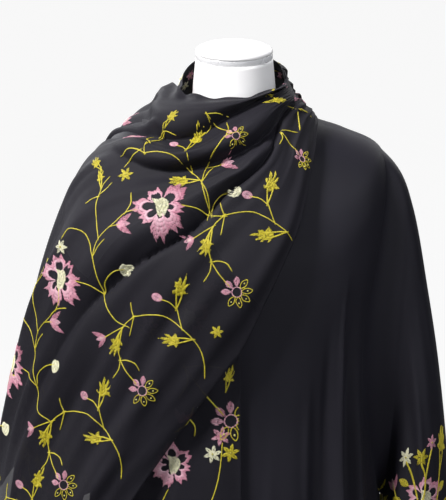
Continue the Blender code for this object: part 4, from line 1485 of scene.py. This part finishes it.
    def drape(self) -> Cloth:
        """The stretch from the side of the neck over the chest and shoulder to the arm."""
        share, along = np.linspace(0, 1, 201), np.linspace(0, 1, 191)
        phi, s = self.spots(self.lines, share, along)
        a, b = np.meshgrid(share, along, indexing="ij")
        s = s + self.collar_dip(phi) * (1 - ease_step(a, 0.0, 0.16)) * ease_step(b, 0.0, 0.06)
        base = self.rings.mantle(phi, s)
        normal = self.rings.outward(self.rings.mantle, phi, s)
        bundle = ease_step(b, 0.22, 0.42) * (1 - ease_step(b, 0.62, 0.80))
        calm = 0.0050 + 0.010 * bundle * (1 - ease_step(a, 0.12, 0.27))
        rise = 0.6 + 0.4 * ease_step(a, 0, 0.10)
        wander = a + 0.012 * soft_noise(b * 7 + 3, a * 4 + 11, 5) * ease_step(b, 0.15, 0.4)
        tucked = self.tuck_height(self.tucks, wander, b) + self.roll_height(wander, b)
        pleats = 0.0011 * np.sin(2 * math.pi * 13 * a + 1.3) * (1 - ease_step(b, 0.10, 0.30))
        slant = a + 0.10 * (b - 0.5)
        rumple = sum(high * soft_noise(slant * wide + x, b * far + y, seed) * ease_step(b, begin, end)
                     for high, wide, x, far, y, seed, begin, end in self.rumples)
        edge = 0.0022 * np.sin(b * 46 + 2 * np.sin(b * 17)) * (1 - ease_step(a, 0, 0.08)) * ease_step(b, 0.05, 0.15)
        stair = np.interp(wander, *np.array(self.steps).T) * ease_step(b, 0.43, 0.56)
        fading = 0.58 + 0.24 * ease_step(a, 0.06, 0.22)
        stair *= 1 - ease_step(b, fading, fading + 0.14)
        lift = (calm + tucked + pleats + rumple) * rise + edge * 0.5 + stair
        fine = base + normal * lift[..., None] + UP * edge[..., None]
        plain = base + normal * (calm * rise)[..., None]
        return Cloth("shayla_drape", plain, fine, self.thickness)

    def neck(self, inside: bool = False) -> Cloth:
        """The stretch behind the neck, seen from outside or from inside."""
        share, along = np.linspace(0, 1, 71), np.linspace(0, 1, 111)
        phi, s = self.spots(self.neck_lines, share, along)
        a, b = np.meshgrid(share, along, indexing="ij")
        base = self.rings.mantle(phi, s)
        normal = self.rings.outward(self.rings.mantle, phi, s)
        tucked = self.tuck_height(self.neck_tucks, a + 0.02 * soft_noise(b * 6 + 2, a * 3 + 1, 6), b)
        rumple = 0.0008 * soft_noise(a * 14 + 2, b * 8 + 3, 22)
        lift = self.loop_lift + (tucked + rumple) * (1 - 0.8 * ease_step(b, 0.55, 0.90))
        grid = base + normal * lift[..., None]
        step = 1 if inside else -1
        return Cloth("shayla_neck", (base + normal * self.loop_lift)[:, ::step], grid[:, ::step], self.thickness)

    def hanging(self) -> Cloth:
        """The loose end that hangs in front from under the drape."""
        across, down = np.meshgrid(np.linspace(1, 0, 61), np.linspace(0, 1, 121), indexing="ij")
        table = np.array(self.hang_rows)
        s = table[0, 0] + (table[-1, 0] - table[0, 0]) * down
        edges = smooth(table[:, 0], table[:, 1:], s)
        x = edges[..., 0] + (edges[..., 1] - edges[..., 0]) * across
        half = self.rings.at(s)[1]
        phi = np.degrees(np.arccos(np.sign(x) * (np.abs(x) / half) ** (1 / ROUNDNESS)))
        wave = 0.0028 * (1 - np.cos(2 * math.pi * (3 * across + 0.25 * np.sin(5 * down)))) / 2
        wave += 0.0012 * soft_noise(across * 9 + 1, down * 4 + 2, 31)
        free = 0.0030 + (0.0080 * (1 + down / 2) - 0.0030) * ease_step(down, 0.05, 0.35)
        folds = np.maximum(self.abaya.relief(phi, s), 0)
        normal = self.rings.outward(self.rings.body, phi, s)
        base = self.rings.body(phi, s)
        calm = base + normal * (folds + free)[..., None]
        fine = calm + normal * (wave * ease_step(down, 0.05, 0.35))[..., None]
        # the first share runs down and the second runs across, so that faces point out
        return Cloth("shayla_hanging_end", np.swapaxes(calm, 0, 1), np.swapaxes(fine, 0, 1), self.thickness)


@dataclass
class DressForm:
    """The white form with its capped neck, in finer meshes than the solids."""

    neck_radius: float = 0.0520
    neck_top: float = 1.4995
    tilt: float = math.radians(11.0)
    around: int = 96
    # reach to the side, front and back, height at the side and the drops of the front and back
    levels: tuple[tuple[float, ...], ...] = (
        (0.0550, 0.0550, 0.0540, 1.4680, 0.009, -0.009), (0.0580, 0.0580, 0.0565, 1.4410, 0.010, -0.010),
        (0.0700, 0.0660, 0.0620, 1.4230, 0.024, -0.006), (0.1020, 0.0760, 0.0690, 1.4135, 0.042, 0.000),
        (0.1480, 0.0960, 0.0840, 1.3966, 0.074, 0.020), (0.1690, 0.1100, 0.0950, 1.3740, 0.104, 0.045),
        (0.1770, 0.1180, 0.1000, 1.3450, 0.112, 0.055), (0.1700, 0.1280, 0.1040, 1.2900, 0.104, 0.055),
        (0.1500, 0.1240, 0.1000, 1.2000, 0.075, 0.045), (0.1240, 0.1020, 0.0900, 1.0700, 0.030, 0.020),
        (0.1580, 0.1150, 0.1080, 0.9300, 0.010, 0.010), (0.1640, 0.1160, 0.1120, 0.8600, 0.000, 0.000),
        (0.1500, 0.1050, 0.1020, 0.8150, 0.000, 0.000),
    )

    def body(self, finish: Material) -> Piece:
        """The form's body and neck in one closed shell.

        Args:
            finish: Its material.

        Returns:
            The piece.
        """
        r, lean = self.neck_radius, self.neck_radius * math.tan(self.tilt)
        table = np.array([(r, r, r, self.neck_top, lean, -lean), *self.levels])
        at = np.linspace(0, len(table) - 1, 92)
        rows = smooth(np.arange(len(table)), table, at)
        phi = np.linspace(0, 360, self.around, endpoint=False)
        powers = 1 - (1 - ROUNDNESS) * ease_step(at, 1, 5)
        grid = np.array([oval(phi, *row, power) for row, power in zip(rows, powers)])
        grid[0, :, 2] = self.neck_top + grid[0, :, 1] * math.tan(self.tilt)
        top, foot = ([ring.mean(0) + (ring - ring.mean(0)) * k for k in (0.97, 0.5, 0.02)]
                     for ring in (grid[0], grid[-1]))
        grid = np.array([*top[::-1], *grid, *foot])
        faces = grid_faces(len(grid), len(phi), True)
        last = (len(grid) - 1) * len(phi)
        faces += [tuple(reversed(range(len(phi)))), tuple(last + i for i in range(len(phi)))]
        return faced_out(mesh_piece("form_shell", grid, faces, finish))

    def lathe(self, name: str, profile: list[tuple[float, float]], finish: Material) -> Piece:
        """A piece turned from a profile of radius and height, tilted with the neck's cut.

        Args:
            name: The piece's name.
            profile: Radius and height from the top's middle to the bottom's middle.
            finish: Its material.

        Returns:
            The piece.
        """
        segments = self.around
        turn = np.linspace(0, 2 * math.pi, segments, endpoint=False)
        grid = np.array([np.stack([r * np.cos(turn), r * np.sin(turn), np.full(segments, z)], -1)
                         for r, z in profile[1:-1]])
        faces = grid_faces(len(grid), segments, True)
        first, last = len(grid) * segments, len(grid) * segments + 1
        low = (len(grid) - 1) * segments
        for i in range(segments):
            n = (i + 1) % segments
            faces += [(first, n, i), (last, low + i, low + n)]
        ends = np.array([(0, 0, profile[0][1]), (0, 0, profile[-1][1])])
        points = np.vstack([grid.reshape(-1, 3), ends])
        c, s = math.cos(self.tilt), math.sin(self.tilt)
        points = points @ np.array([[1, 0, 0], [0, c, s], [0, -s, c]]) + [0, 0, self.neck_top]
        return faced_out(mesh_piece(name, points, faces, finish))

    def cap(self, white: Material, metal: Material) -> tuple[Piece, Piece]:
        """The chromed ring and the domed cap."""
        r = self.neck_radius
        band = r - 0.0004
        soft = 0.0006
        ring = [(0, 0.0078), (band - soft, 0.0078), (band - 0.0002, 0.0076), (band, 0.0070), (band, 0.0011),
                (band - 0.0002, 0.0005), (band - soft, 0.0003), (0, 0.0003)]
        base, top = 0.0081, 0.0206
        curve = [(r * math.sin(a), base + 0.0012 + (top - base - 0.0012) * math.cos(a) ** 0.82)
                 for a in np.linspace(0.12, math.pi / 2, 26)]
        dome = [(0, top), *curve, (r, base + 0.0004), (r - 0.0005, base), (0, base)]
        return self.lathe("neck_ring_chrome_painted_reflection", ring, metal), self.lathe("neck_cap_dome", dome, white)


@dataclass
class Studio:
    """The camera at the photograph's angle, a pale sweep and soft lights."""

    target: tuple[float, float, float] = (-0.015, 0.0, 1.239)
    distance: float = 2.8
    elevation: float = 8.3
    view_height: float = 0.68
    sky_seen: float = 0.93
    sky_lit: float = 0.09
    # name, place, size in metres, power in watts and colour of each soft light
    lamps: tuple[tuple[str, tuple[float, float, float], float, float, Colour], ...] = (
        ("key", (-2.1, -1.5, 3.8), 1.1, 200, (1.0, 0.985, 0.985)),
        ("fill", (1.9, -1.9, 3.2), 1.4, 42, (0.93, 0.95, 1.0)),
        ("side", (-3.0, -0.5, 1.9), 1.6, 12, (0.96, 0.97, 1.0)),
        ("front", (0.7, -3.3, 1.9), 1.8, 16, (0.94, 0.95, 1.0)),
        ("rim", (1.4, 2.4, 2.8), 1.6, 30, (1.0, 1.0, 1.0)),
        ("back", (-1.9, 2.9, 3.1), 1.6, 80, (0.97, 0.98, 1.0)),
    )

    def camera(self) -> None:
        """Makes the camera."""
        data = bpy.data.cameras.new("camera")
        data.sensor_width = 36.0
        data.lens = 36.0 * self.distance / self.view_height
        camera = bpy.data.objects.new("camera", data)
        bpy.context.scene.collection.objects.link(camera)
        tilt = math.radians(self.elevation)
        back = Vector((0, -math.cos(tilt), math.sin(tilt)))
        camera.location = Vector(self.target) + back * self.distance
        camera.rotation_euler = (-back).to_track_quat("-Z", "Y").to_euler()
        bpy.context.scene.camera = camera

    def light(self, name: str, place: tuple[float, float, float], size: float, power: float, colour: Colour) -> None:
        """Adds a soft square light aimed at the garment."""
        data = bpy.data.lights.new(name, "AREA")
        data.size, data.energy, data.color = size, power, colour
        lamp = bpy.data.objects.new(name, data)
        lamp.location = place
        lamp.rotation_euler = (Vector((0, 0, 1.05)) - Vector(place)).to_track_quat("-Z", "Y").to_euler()
        bpy.context.scene.collection.objects.link(lamp)

    def build(self, kit: ShaderKit) -> None:
        """Makes the sweep, the lights and the sky.

        Args:
            kit: The shader groups that finishes share.
        """
        scene = bpy.context.scene
        scene.view_settings.view_transform = "Standard"
        world = bpy.data.worlds.new("studio")
        world.use_nodes = True
        sky = world.node_tree
        seen = sky.nodes.new("ShaderNodeLightPath")
        strength = kit.span(sky, seen.outputs["Is Camera Ray"], self.sky_lit, self.sky_seen)
        set_sockets(sky.nodes["Background"], {"Color": (1.0, 1.0, 1.0, 1)})
        kit.feed(sky, sky.nodes["Background"], {"Strength": strength})
        scene.world = world
        for lamp in self.lamps:
            self.light(*lamp)
        turn = np.linspace(0, math.pi / 2, 16)
        bend = 1.6
        side = [(-9.0, 0.0)] + [(4.4 + bend * math.sin(a), bend - bend * math.cos(a)) for a in turn] + [(6.0, 9.0)]
        grid = np.array([[(x, y, z) for x in (-12.0, 12.0)] for y, z in side])
        made, tree, shader = kit.blank("sweep_paper")
        set_sockets(shader, {"Base Color": (0.22, 0.22, 0.22, 1), "Roughness": 0.9,
                             "Emission Color": (1.0, 1.0, 1.0, 1), "Emission Strength": 0.85})
        clear, choose = tree.nodes.new("ShaderNodeBsdfTransparent"), tree.nodes.new("ShaderNodeMixShader")
        facing = tree.nodes.new("ShaderNodeNewGeometry")
        end = next(node for node in tree.nodes if node.type == "OUTPUT_MATERIAL")
        tree.links.new(facing.outputs["Backfacing"], choose.inputs["Fac"])
        tree.links.new(shader.outputs["BSDF"], choose.inputs[1])
        tree.links.new(clear.outputs["BSDF"], choose.inputs[2])
        tree.links.new(choose.outputs["Shader"], end.inputs["Surface"])
        sweep = mesh_piece("studio_sweep", grid, grid_faces(len(grid), 2), made)
        sweep.visible_diffuse = False
        sweep.visible_glossy = False


FINISHES = {
    "crepe": ClothFinish("black_crepe_cloth", (0.0098, 0.0092, 0.0142), (0.0128, 0.0120, 0.0184), 0.62, 1.0, 0.03,
                         (0.62, 0.64, 0.78), 1500.0, 0.00006),
    "doubled": ClothFinish("black_georgette_doubled", (0.0100, 0.0092, 0.0136), (0.0145, 0.0134, 0.0194), 0.68, 0.93,
                           0.05, (0.66, 0.66, 0.76), 1150.0, 0.00008),
    "georgette": ClothFinish("black_georgette_sheer", (0.0105, 0.0097, 0.0144), (0.0150, 0.0138, 0.0202), 0.68, 0.76,
                             0.05, (0.66, 0.66, 0.76), 1150.0, 0.00008),
}
THREADS = {
    Thread.OLIVE: ThreadFinish("olive_thread", (0.305, 0.255, 0.008), (0.590, 0.500, 0.023), (0.790, 0.680, 0.080), 0.50),
    Thread.ROSE: ThreadFinish("rose_thread", (0.430, 0.125, 0.200), (0.610, 0.272, 0.352), (0.720, 0.460, 0.530), 0.50),
    Thread.CREAM: ThreadFinish("cream_thread", (0.530, 0.510, 0.285), (0.730, 0.710, 0.470), (0.850, 0.830, 0.640), 0.52),
    Thread.BEAD: ThreadFinish("olive_bead", (0.300, 0.270, 0.030), (0.560, 0.500, 0.090), (0.760, 0.720, 0.300), 0.16, 0.8),
}
HARD = {
    "form": HardFinish("form_satin_white", (0.880, 0.872, 0.868), (0.840, 0.832, 0.828), 0.42, 0.0, 34.0),
    # the ring's near-white colours with little metallic are a painted reflection: they stand in for the chrome
    # mirroring the bright studio
    "ring_painted_reflection": HardFinish("neck_ring_chrome_painted_reflection", (0.94, 0.94, 0.95), (0.80, 0.80, 0.82), 0.24, 0.15, 60.0),
    "stand": HardFinish("stand_satin_white", (0.760, 0.760, 0.755), (0.700, 0.700, 0.695), 0.38, 0.0, 50.0),
}

# where each half of the branch goes on the front stretch: share of the width and of the length, and its turn
CRESTS = (
    (0.735, 0.484, 0, (18.0, 0.0), False), (0.648, 0.678, 2, (38.0, 37.0), True), (0.590, 0.811, 6, (30.0, 38.0), True),
    (0.480, 0.930, 8, (30.0, 38.0), True),
)
BOUGHS = (
    (0.765, 0.464, 0, True), (0.742, 0.666, 2, True), (0.692, 0.814, 4, True), (0.365, 0.508, 6, False),
    (0.610, 0.945, 6, True),
)


class Small(Enum):
    """The single motifs that fill the ground between the branches."""

    SPRAY = "spray"
    BUD = "bud"
    TULIP = "tulip"
    LILY = "lily"
    FORK = "fork"
    HALF = "half flower"
    OLIVE_STAR = "olive star"
    CREAM_STAR = "cream star"
    ROSE_STAR = "rose star"
    PUFF = "puff"
    TWIG = "twig"
    BLOOM = "bloom"
    BOUQUET = "bouquet"


# motif, share of the width, share of the length, turn and scale
DRAPE_SMALL = (
    (Small.TWIG, 0.345, 0.510, 4, 1.5), (Small.SPRAY, 0.190, 0.440, 30, 0.66), (Small.TWIG, 0.215, 0.475, 64, 1.0),
    (Small.LILY, 0.290, 0.560, 26, 0.80), (Small.OLIVE_STAR, 0.435, 0.556, 0, 0.95),
    (Small.FORK, 0.170, 0.330, -4, 0.86),
    (Small.FORK, 0.725, 0.262, 10, 0.86), (Small.SPRAY, 0.300, 0.205, 84, 0.60),
    (Small.BUD, 0.250, 0.088, 10, 0.90), (Small.TWIG, 0.600, 0.150, 150, 1.5), (Small.SPRAY, 0.400, 0.598, -62, 0.70),
    (Small.TULIP, 0.560, 0.060, 165, 0.8), (Small.SPRAY, 0.060, 0.130, 200, 0.6),
    (Small.OLIVE_STAR, 0.930, 0.570, 10, 0.8), (Small.LILY, 0.100, 0.660, 10, 0.9), (Small.FORK, 0.140, 0.780, 20, 1.0),
    (Small.SPRAY, 0.290, 0.900, -20, 0.8), (Small.TULIP, 0.180, 0.940, 30, 0.9),
)
NECK_SMALL = (
    (Small.CREAM_STAR, 0.10, 0.10, 0, 1.0), (Small.TULIP, 0.34, 0.24, 20, 0.6), (Small.TWIG, 0.60, 0.16, 30, 1.1),
    (Small.SPRAY, 0.50, 0.40, 12, 0.8), (Small.FORK, 0.18, 0.52, 0, 0.9), (Small.BUD, 0.60, 0.62, 60, 0.9),
    (Small.SPRAY, 0.40, 0.78, -40, 0.7), (Small.TWIG, 0.20, 0.90, 10, 0.9), (Small.ROSE_STAR, 0.62, 0.93, 0, 0.9),
)
INSIDE_SMALL = (
    (Small.CREAM_STAR, 0.46, 0.722, 20, 0.74), (Small.ROSE_STAR, 0.27, 0.722, 0, 0.80),
    (Small.TWIG, 0.66, 0.720, 30, 0.50), (Small.ROSE_STAR, 0.30, 0.135, 0, 0.50),
)
# on the loose end the first share runs down and the second runs across, from the inner edge
HANGING_SMALL = (
    (Small.BLOOM, 0.540, 0.56, 12, 0.92), (Small.ROSE_STAR, 0.475, 0.17, 0, 1.25), (Small.CREAM_STAR, 0.508, 0.24, 0, 1.15),
    (Small.OLIVE_STAR, 0.505, 0.09, 0, 1.15), (Small.TWIG, 0.435, 0.42, 190, 1.35), (Small.TULIP, 0.462, 0.52, 20, 0.8),
    (Small.SPRAY, 0.395, 0.13, 10, 0.72), (Small.BLOOM, 0.283, 0.50, 30, 0.92), (Small.PUFF, 0.185, 0.84, 0, 1.0),
    (Small.FORK, 0.365, 0.50, 0, 1.6), (Small.TULIP, 0.232, 0.34, 40, 0.9), (Small.HALF, 0.330, 0.85, 40, 0.9),
    (Small.BOUQUET, 0.930, 0.52, 0, 1.25),
)
# round the sleeves: the first share runs down to the cuff
CUFFS = ((0.985, 0.235, 0, 1.0), (0.985, 0.520, 0, 0.7), (0.985, 0.740, 0, 0.95), (0.985, 0.975, 0, 0.95))


def small_motif(motifs: Motifs, kind: Small) -> Sewn:
    """Draws one of the single motifs at its usual size."""
    drawings: dict[Small, Callable[[], Sewn]] = {
        Small.SPRAY: lambda: motifs.spray(0.042), Small.BUD: lambda: motifs.bud(0.013),
        Small.TULIP: lambda: motifs.tulip(0.027), Small.LILY: lambda: motifs.lily(0.034),
        Small.FORK: lambda: motifs.fork(0.055), Small.HALF: lambda: motifs.half_flower(0.020),
        Small.OLIVE_STAR: lambda: motifs.star(0.011, Thread.OLIVE, 0.5),
        Small.CREAM_STAR: lambda: motifs.star(0.011, Thread.CREAM, 0.7),
        Small.ROSE_STAR: lambda: motifs.star(0.011, Thread.ROSE, 0.5), Small.PUFF: lambda: motifs.puff(0.019),
        Small.TWIG: lambda: motifs.twig(0.026), Small.BLOOM: lambda: motifs.bloom(0.0345),
        Small.BOUQUET: motifs.bouquet,
    }
    return drawings[kind]()


def dress(needle: Needle, motifs: Motifs, strips: dict[str, Cloth], cuffs: tuple[Cloth, ...]) -> None:
    """Sews the whole embroidery.

    Args:
        needle: The needle.
        motifs: The drawings.
        strips: The shayla's front stretch, neck stretch and loose end.
        cuffs: The two sleeves.
    """
    drape = strips["drape"]
    for share, along, turn, link, crown in CRESTS:
        needle.sew(drape, motifs.crest(link, crown), (share, along), turn)
    for share, along, turn, lower in BOUGHS:
        needle.sew(drape, motifs.bough(lower), (share, along), turn)
    tables = {"drape": DRAPE_SMALL, "neck": NECK_SMALL, "neck_inside": INSIDE_SMALL, "hanging": HANGING_SMALL}
    for name, table in tables.items():
        for kind, share, along, turn, scale in table:
            needle.sew(strips[name], small_motif(motifs, kind), (share, along), turn, scale)
    hanging = strips["hanging"]
    stalk = motifs.stem([(0, 0), (-2, 26), (-6, 50), (-18, 84), (-40, 112), (-60, 122)])
    needle.sew(hanging, stalk, (0.490, 0.16))
    needle.sew(hanging, motifs.stem([(0, 0), (-12, 22), (-30, 36), (-52, 40)]), (0.588, 0.60))
    for cuff in cuffs:
        for share, along, turn, scale in CUFFS:
            needle.sew(cuff, motifs.bouquet(), (share, along), turn, scale)


def main() -> None:
    """Builds the garment, the form and the studio, and hands them to the frame."""
    logging.basicConfig(level=logging.INFO, format="%(name)s: %(message)s")
    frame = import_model()
    kit = ShaderKit()
    studio = Studio()
    studio.camera()
    studio.build(kit)
    crepe, georgette, doubled = (FINISHES[key].build(kit) for key in ("crepe", "georgette", "doubled"))
    white, ring_painted_reflection, painted = (HARD[key].build(kit) for key in ("form", "ring_painted_reflection", "stand"))
    threads = {thread: finish.build(kit) for thread, finish in THREADS.items()}

    rings = Rings()
    abaya = Abaya(rings)
    cloth = abaya.make(crepe)
    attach(cloth, ROOT)
    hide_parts("abaya_front", "abaya_back", "sleeve_left", "sleeve_right")
    binding = abaya.binding(crepe)
    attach(binding, ROOT)
    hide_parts("neck_binding")
    log.info("abaya: %.2f m2 of wall", mesh_area(cloth))

    shayla = Shayla(rings, abaya)
    drape, neck, hanging = shayla.drape(), shayla.neck(), shayla.hanging()
    strips = {
        "shayla_front_drape": (drape, drape.make(georgette, 0.70, 0.95, (doubled, 0.5))),
        "shayla_neck_loop": (neck, neck.make(doubled, 0.30, 0.40)),
        "shayla_hanging_end": (hanging, hanging.make(georgette, 0.90, 0.30)),
    }
    needle, motifs = Needle(), Motifs(11)
    cuffs = (abaya.cuff_cloth(abaya.left_sleeve, 1), abaya.cuff_cloth(abaya.right_sleeve, -1))
    dress(needle, motifs, {"drape": drape, "neck": neck, "neck_inside": shayla.neck(True), "hanging": hanging}, cuffs)
    log.info("%d stitches", needle.count())
    stitch = StitchTree("stitch_on_points", 4, 3, 0.12, 5)
    bead = StitchTree("bead_on_points", 8, 5, 0.06, 6)
    sewn = needle.finish(threads, {thread: bead if thread is Thread.BEAD else stitch for thread in Thread})

    for node, (strip, piece) in strips.items():
        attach(piece, ROOT)
        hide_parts(node)
        log.info("%s: %.3f m2 of wall", node, mesh_area(piece))

    form = DressForm()
    shell = form.body(white)
    ring, dome = form.cap(white, ring_painted_reflection)
    for piece, node, slot in ((shell, "form_body", "form_white"), (ring, "neck_ring", "neck_metal"),
                              (dome, "neck_cap", "form_white")):
        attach(piece, ROOT)
        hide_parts(node)
    for node in ("stand_flange", "stand_pole", "stand_foot"):
        solid = frame["nodes"][node]
        solid.data.materials.clear()
        solid.data.materials.append(painted)


if __name__ == "__main__":
    main()
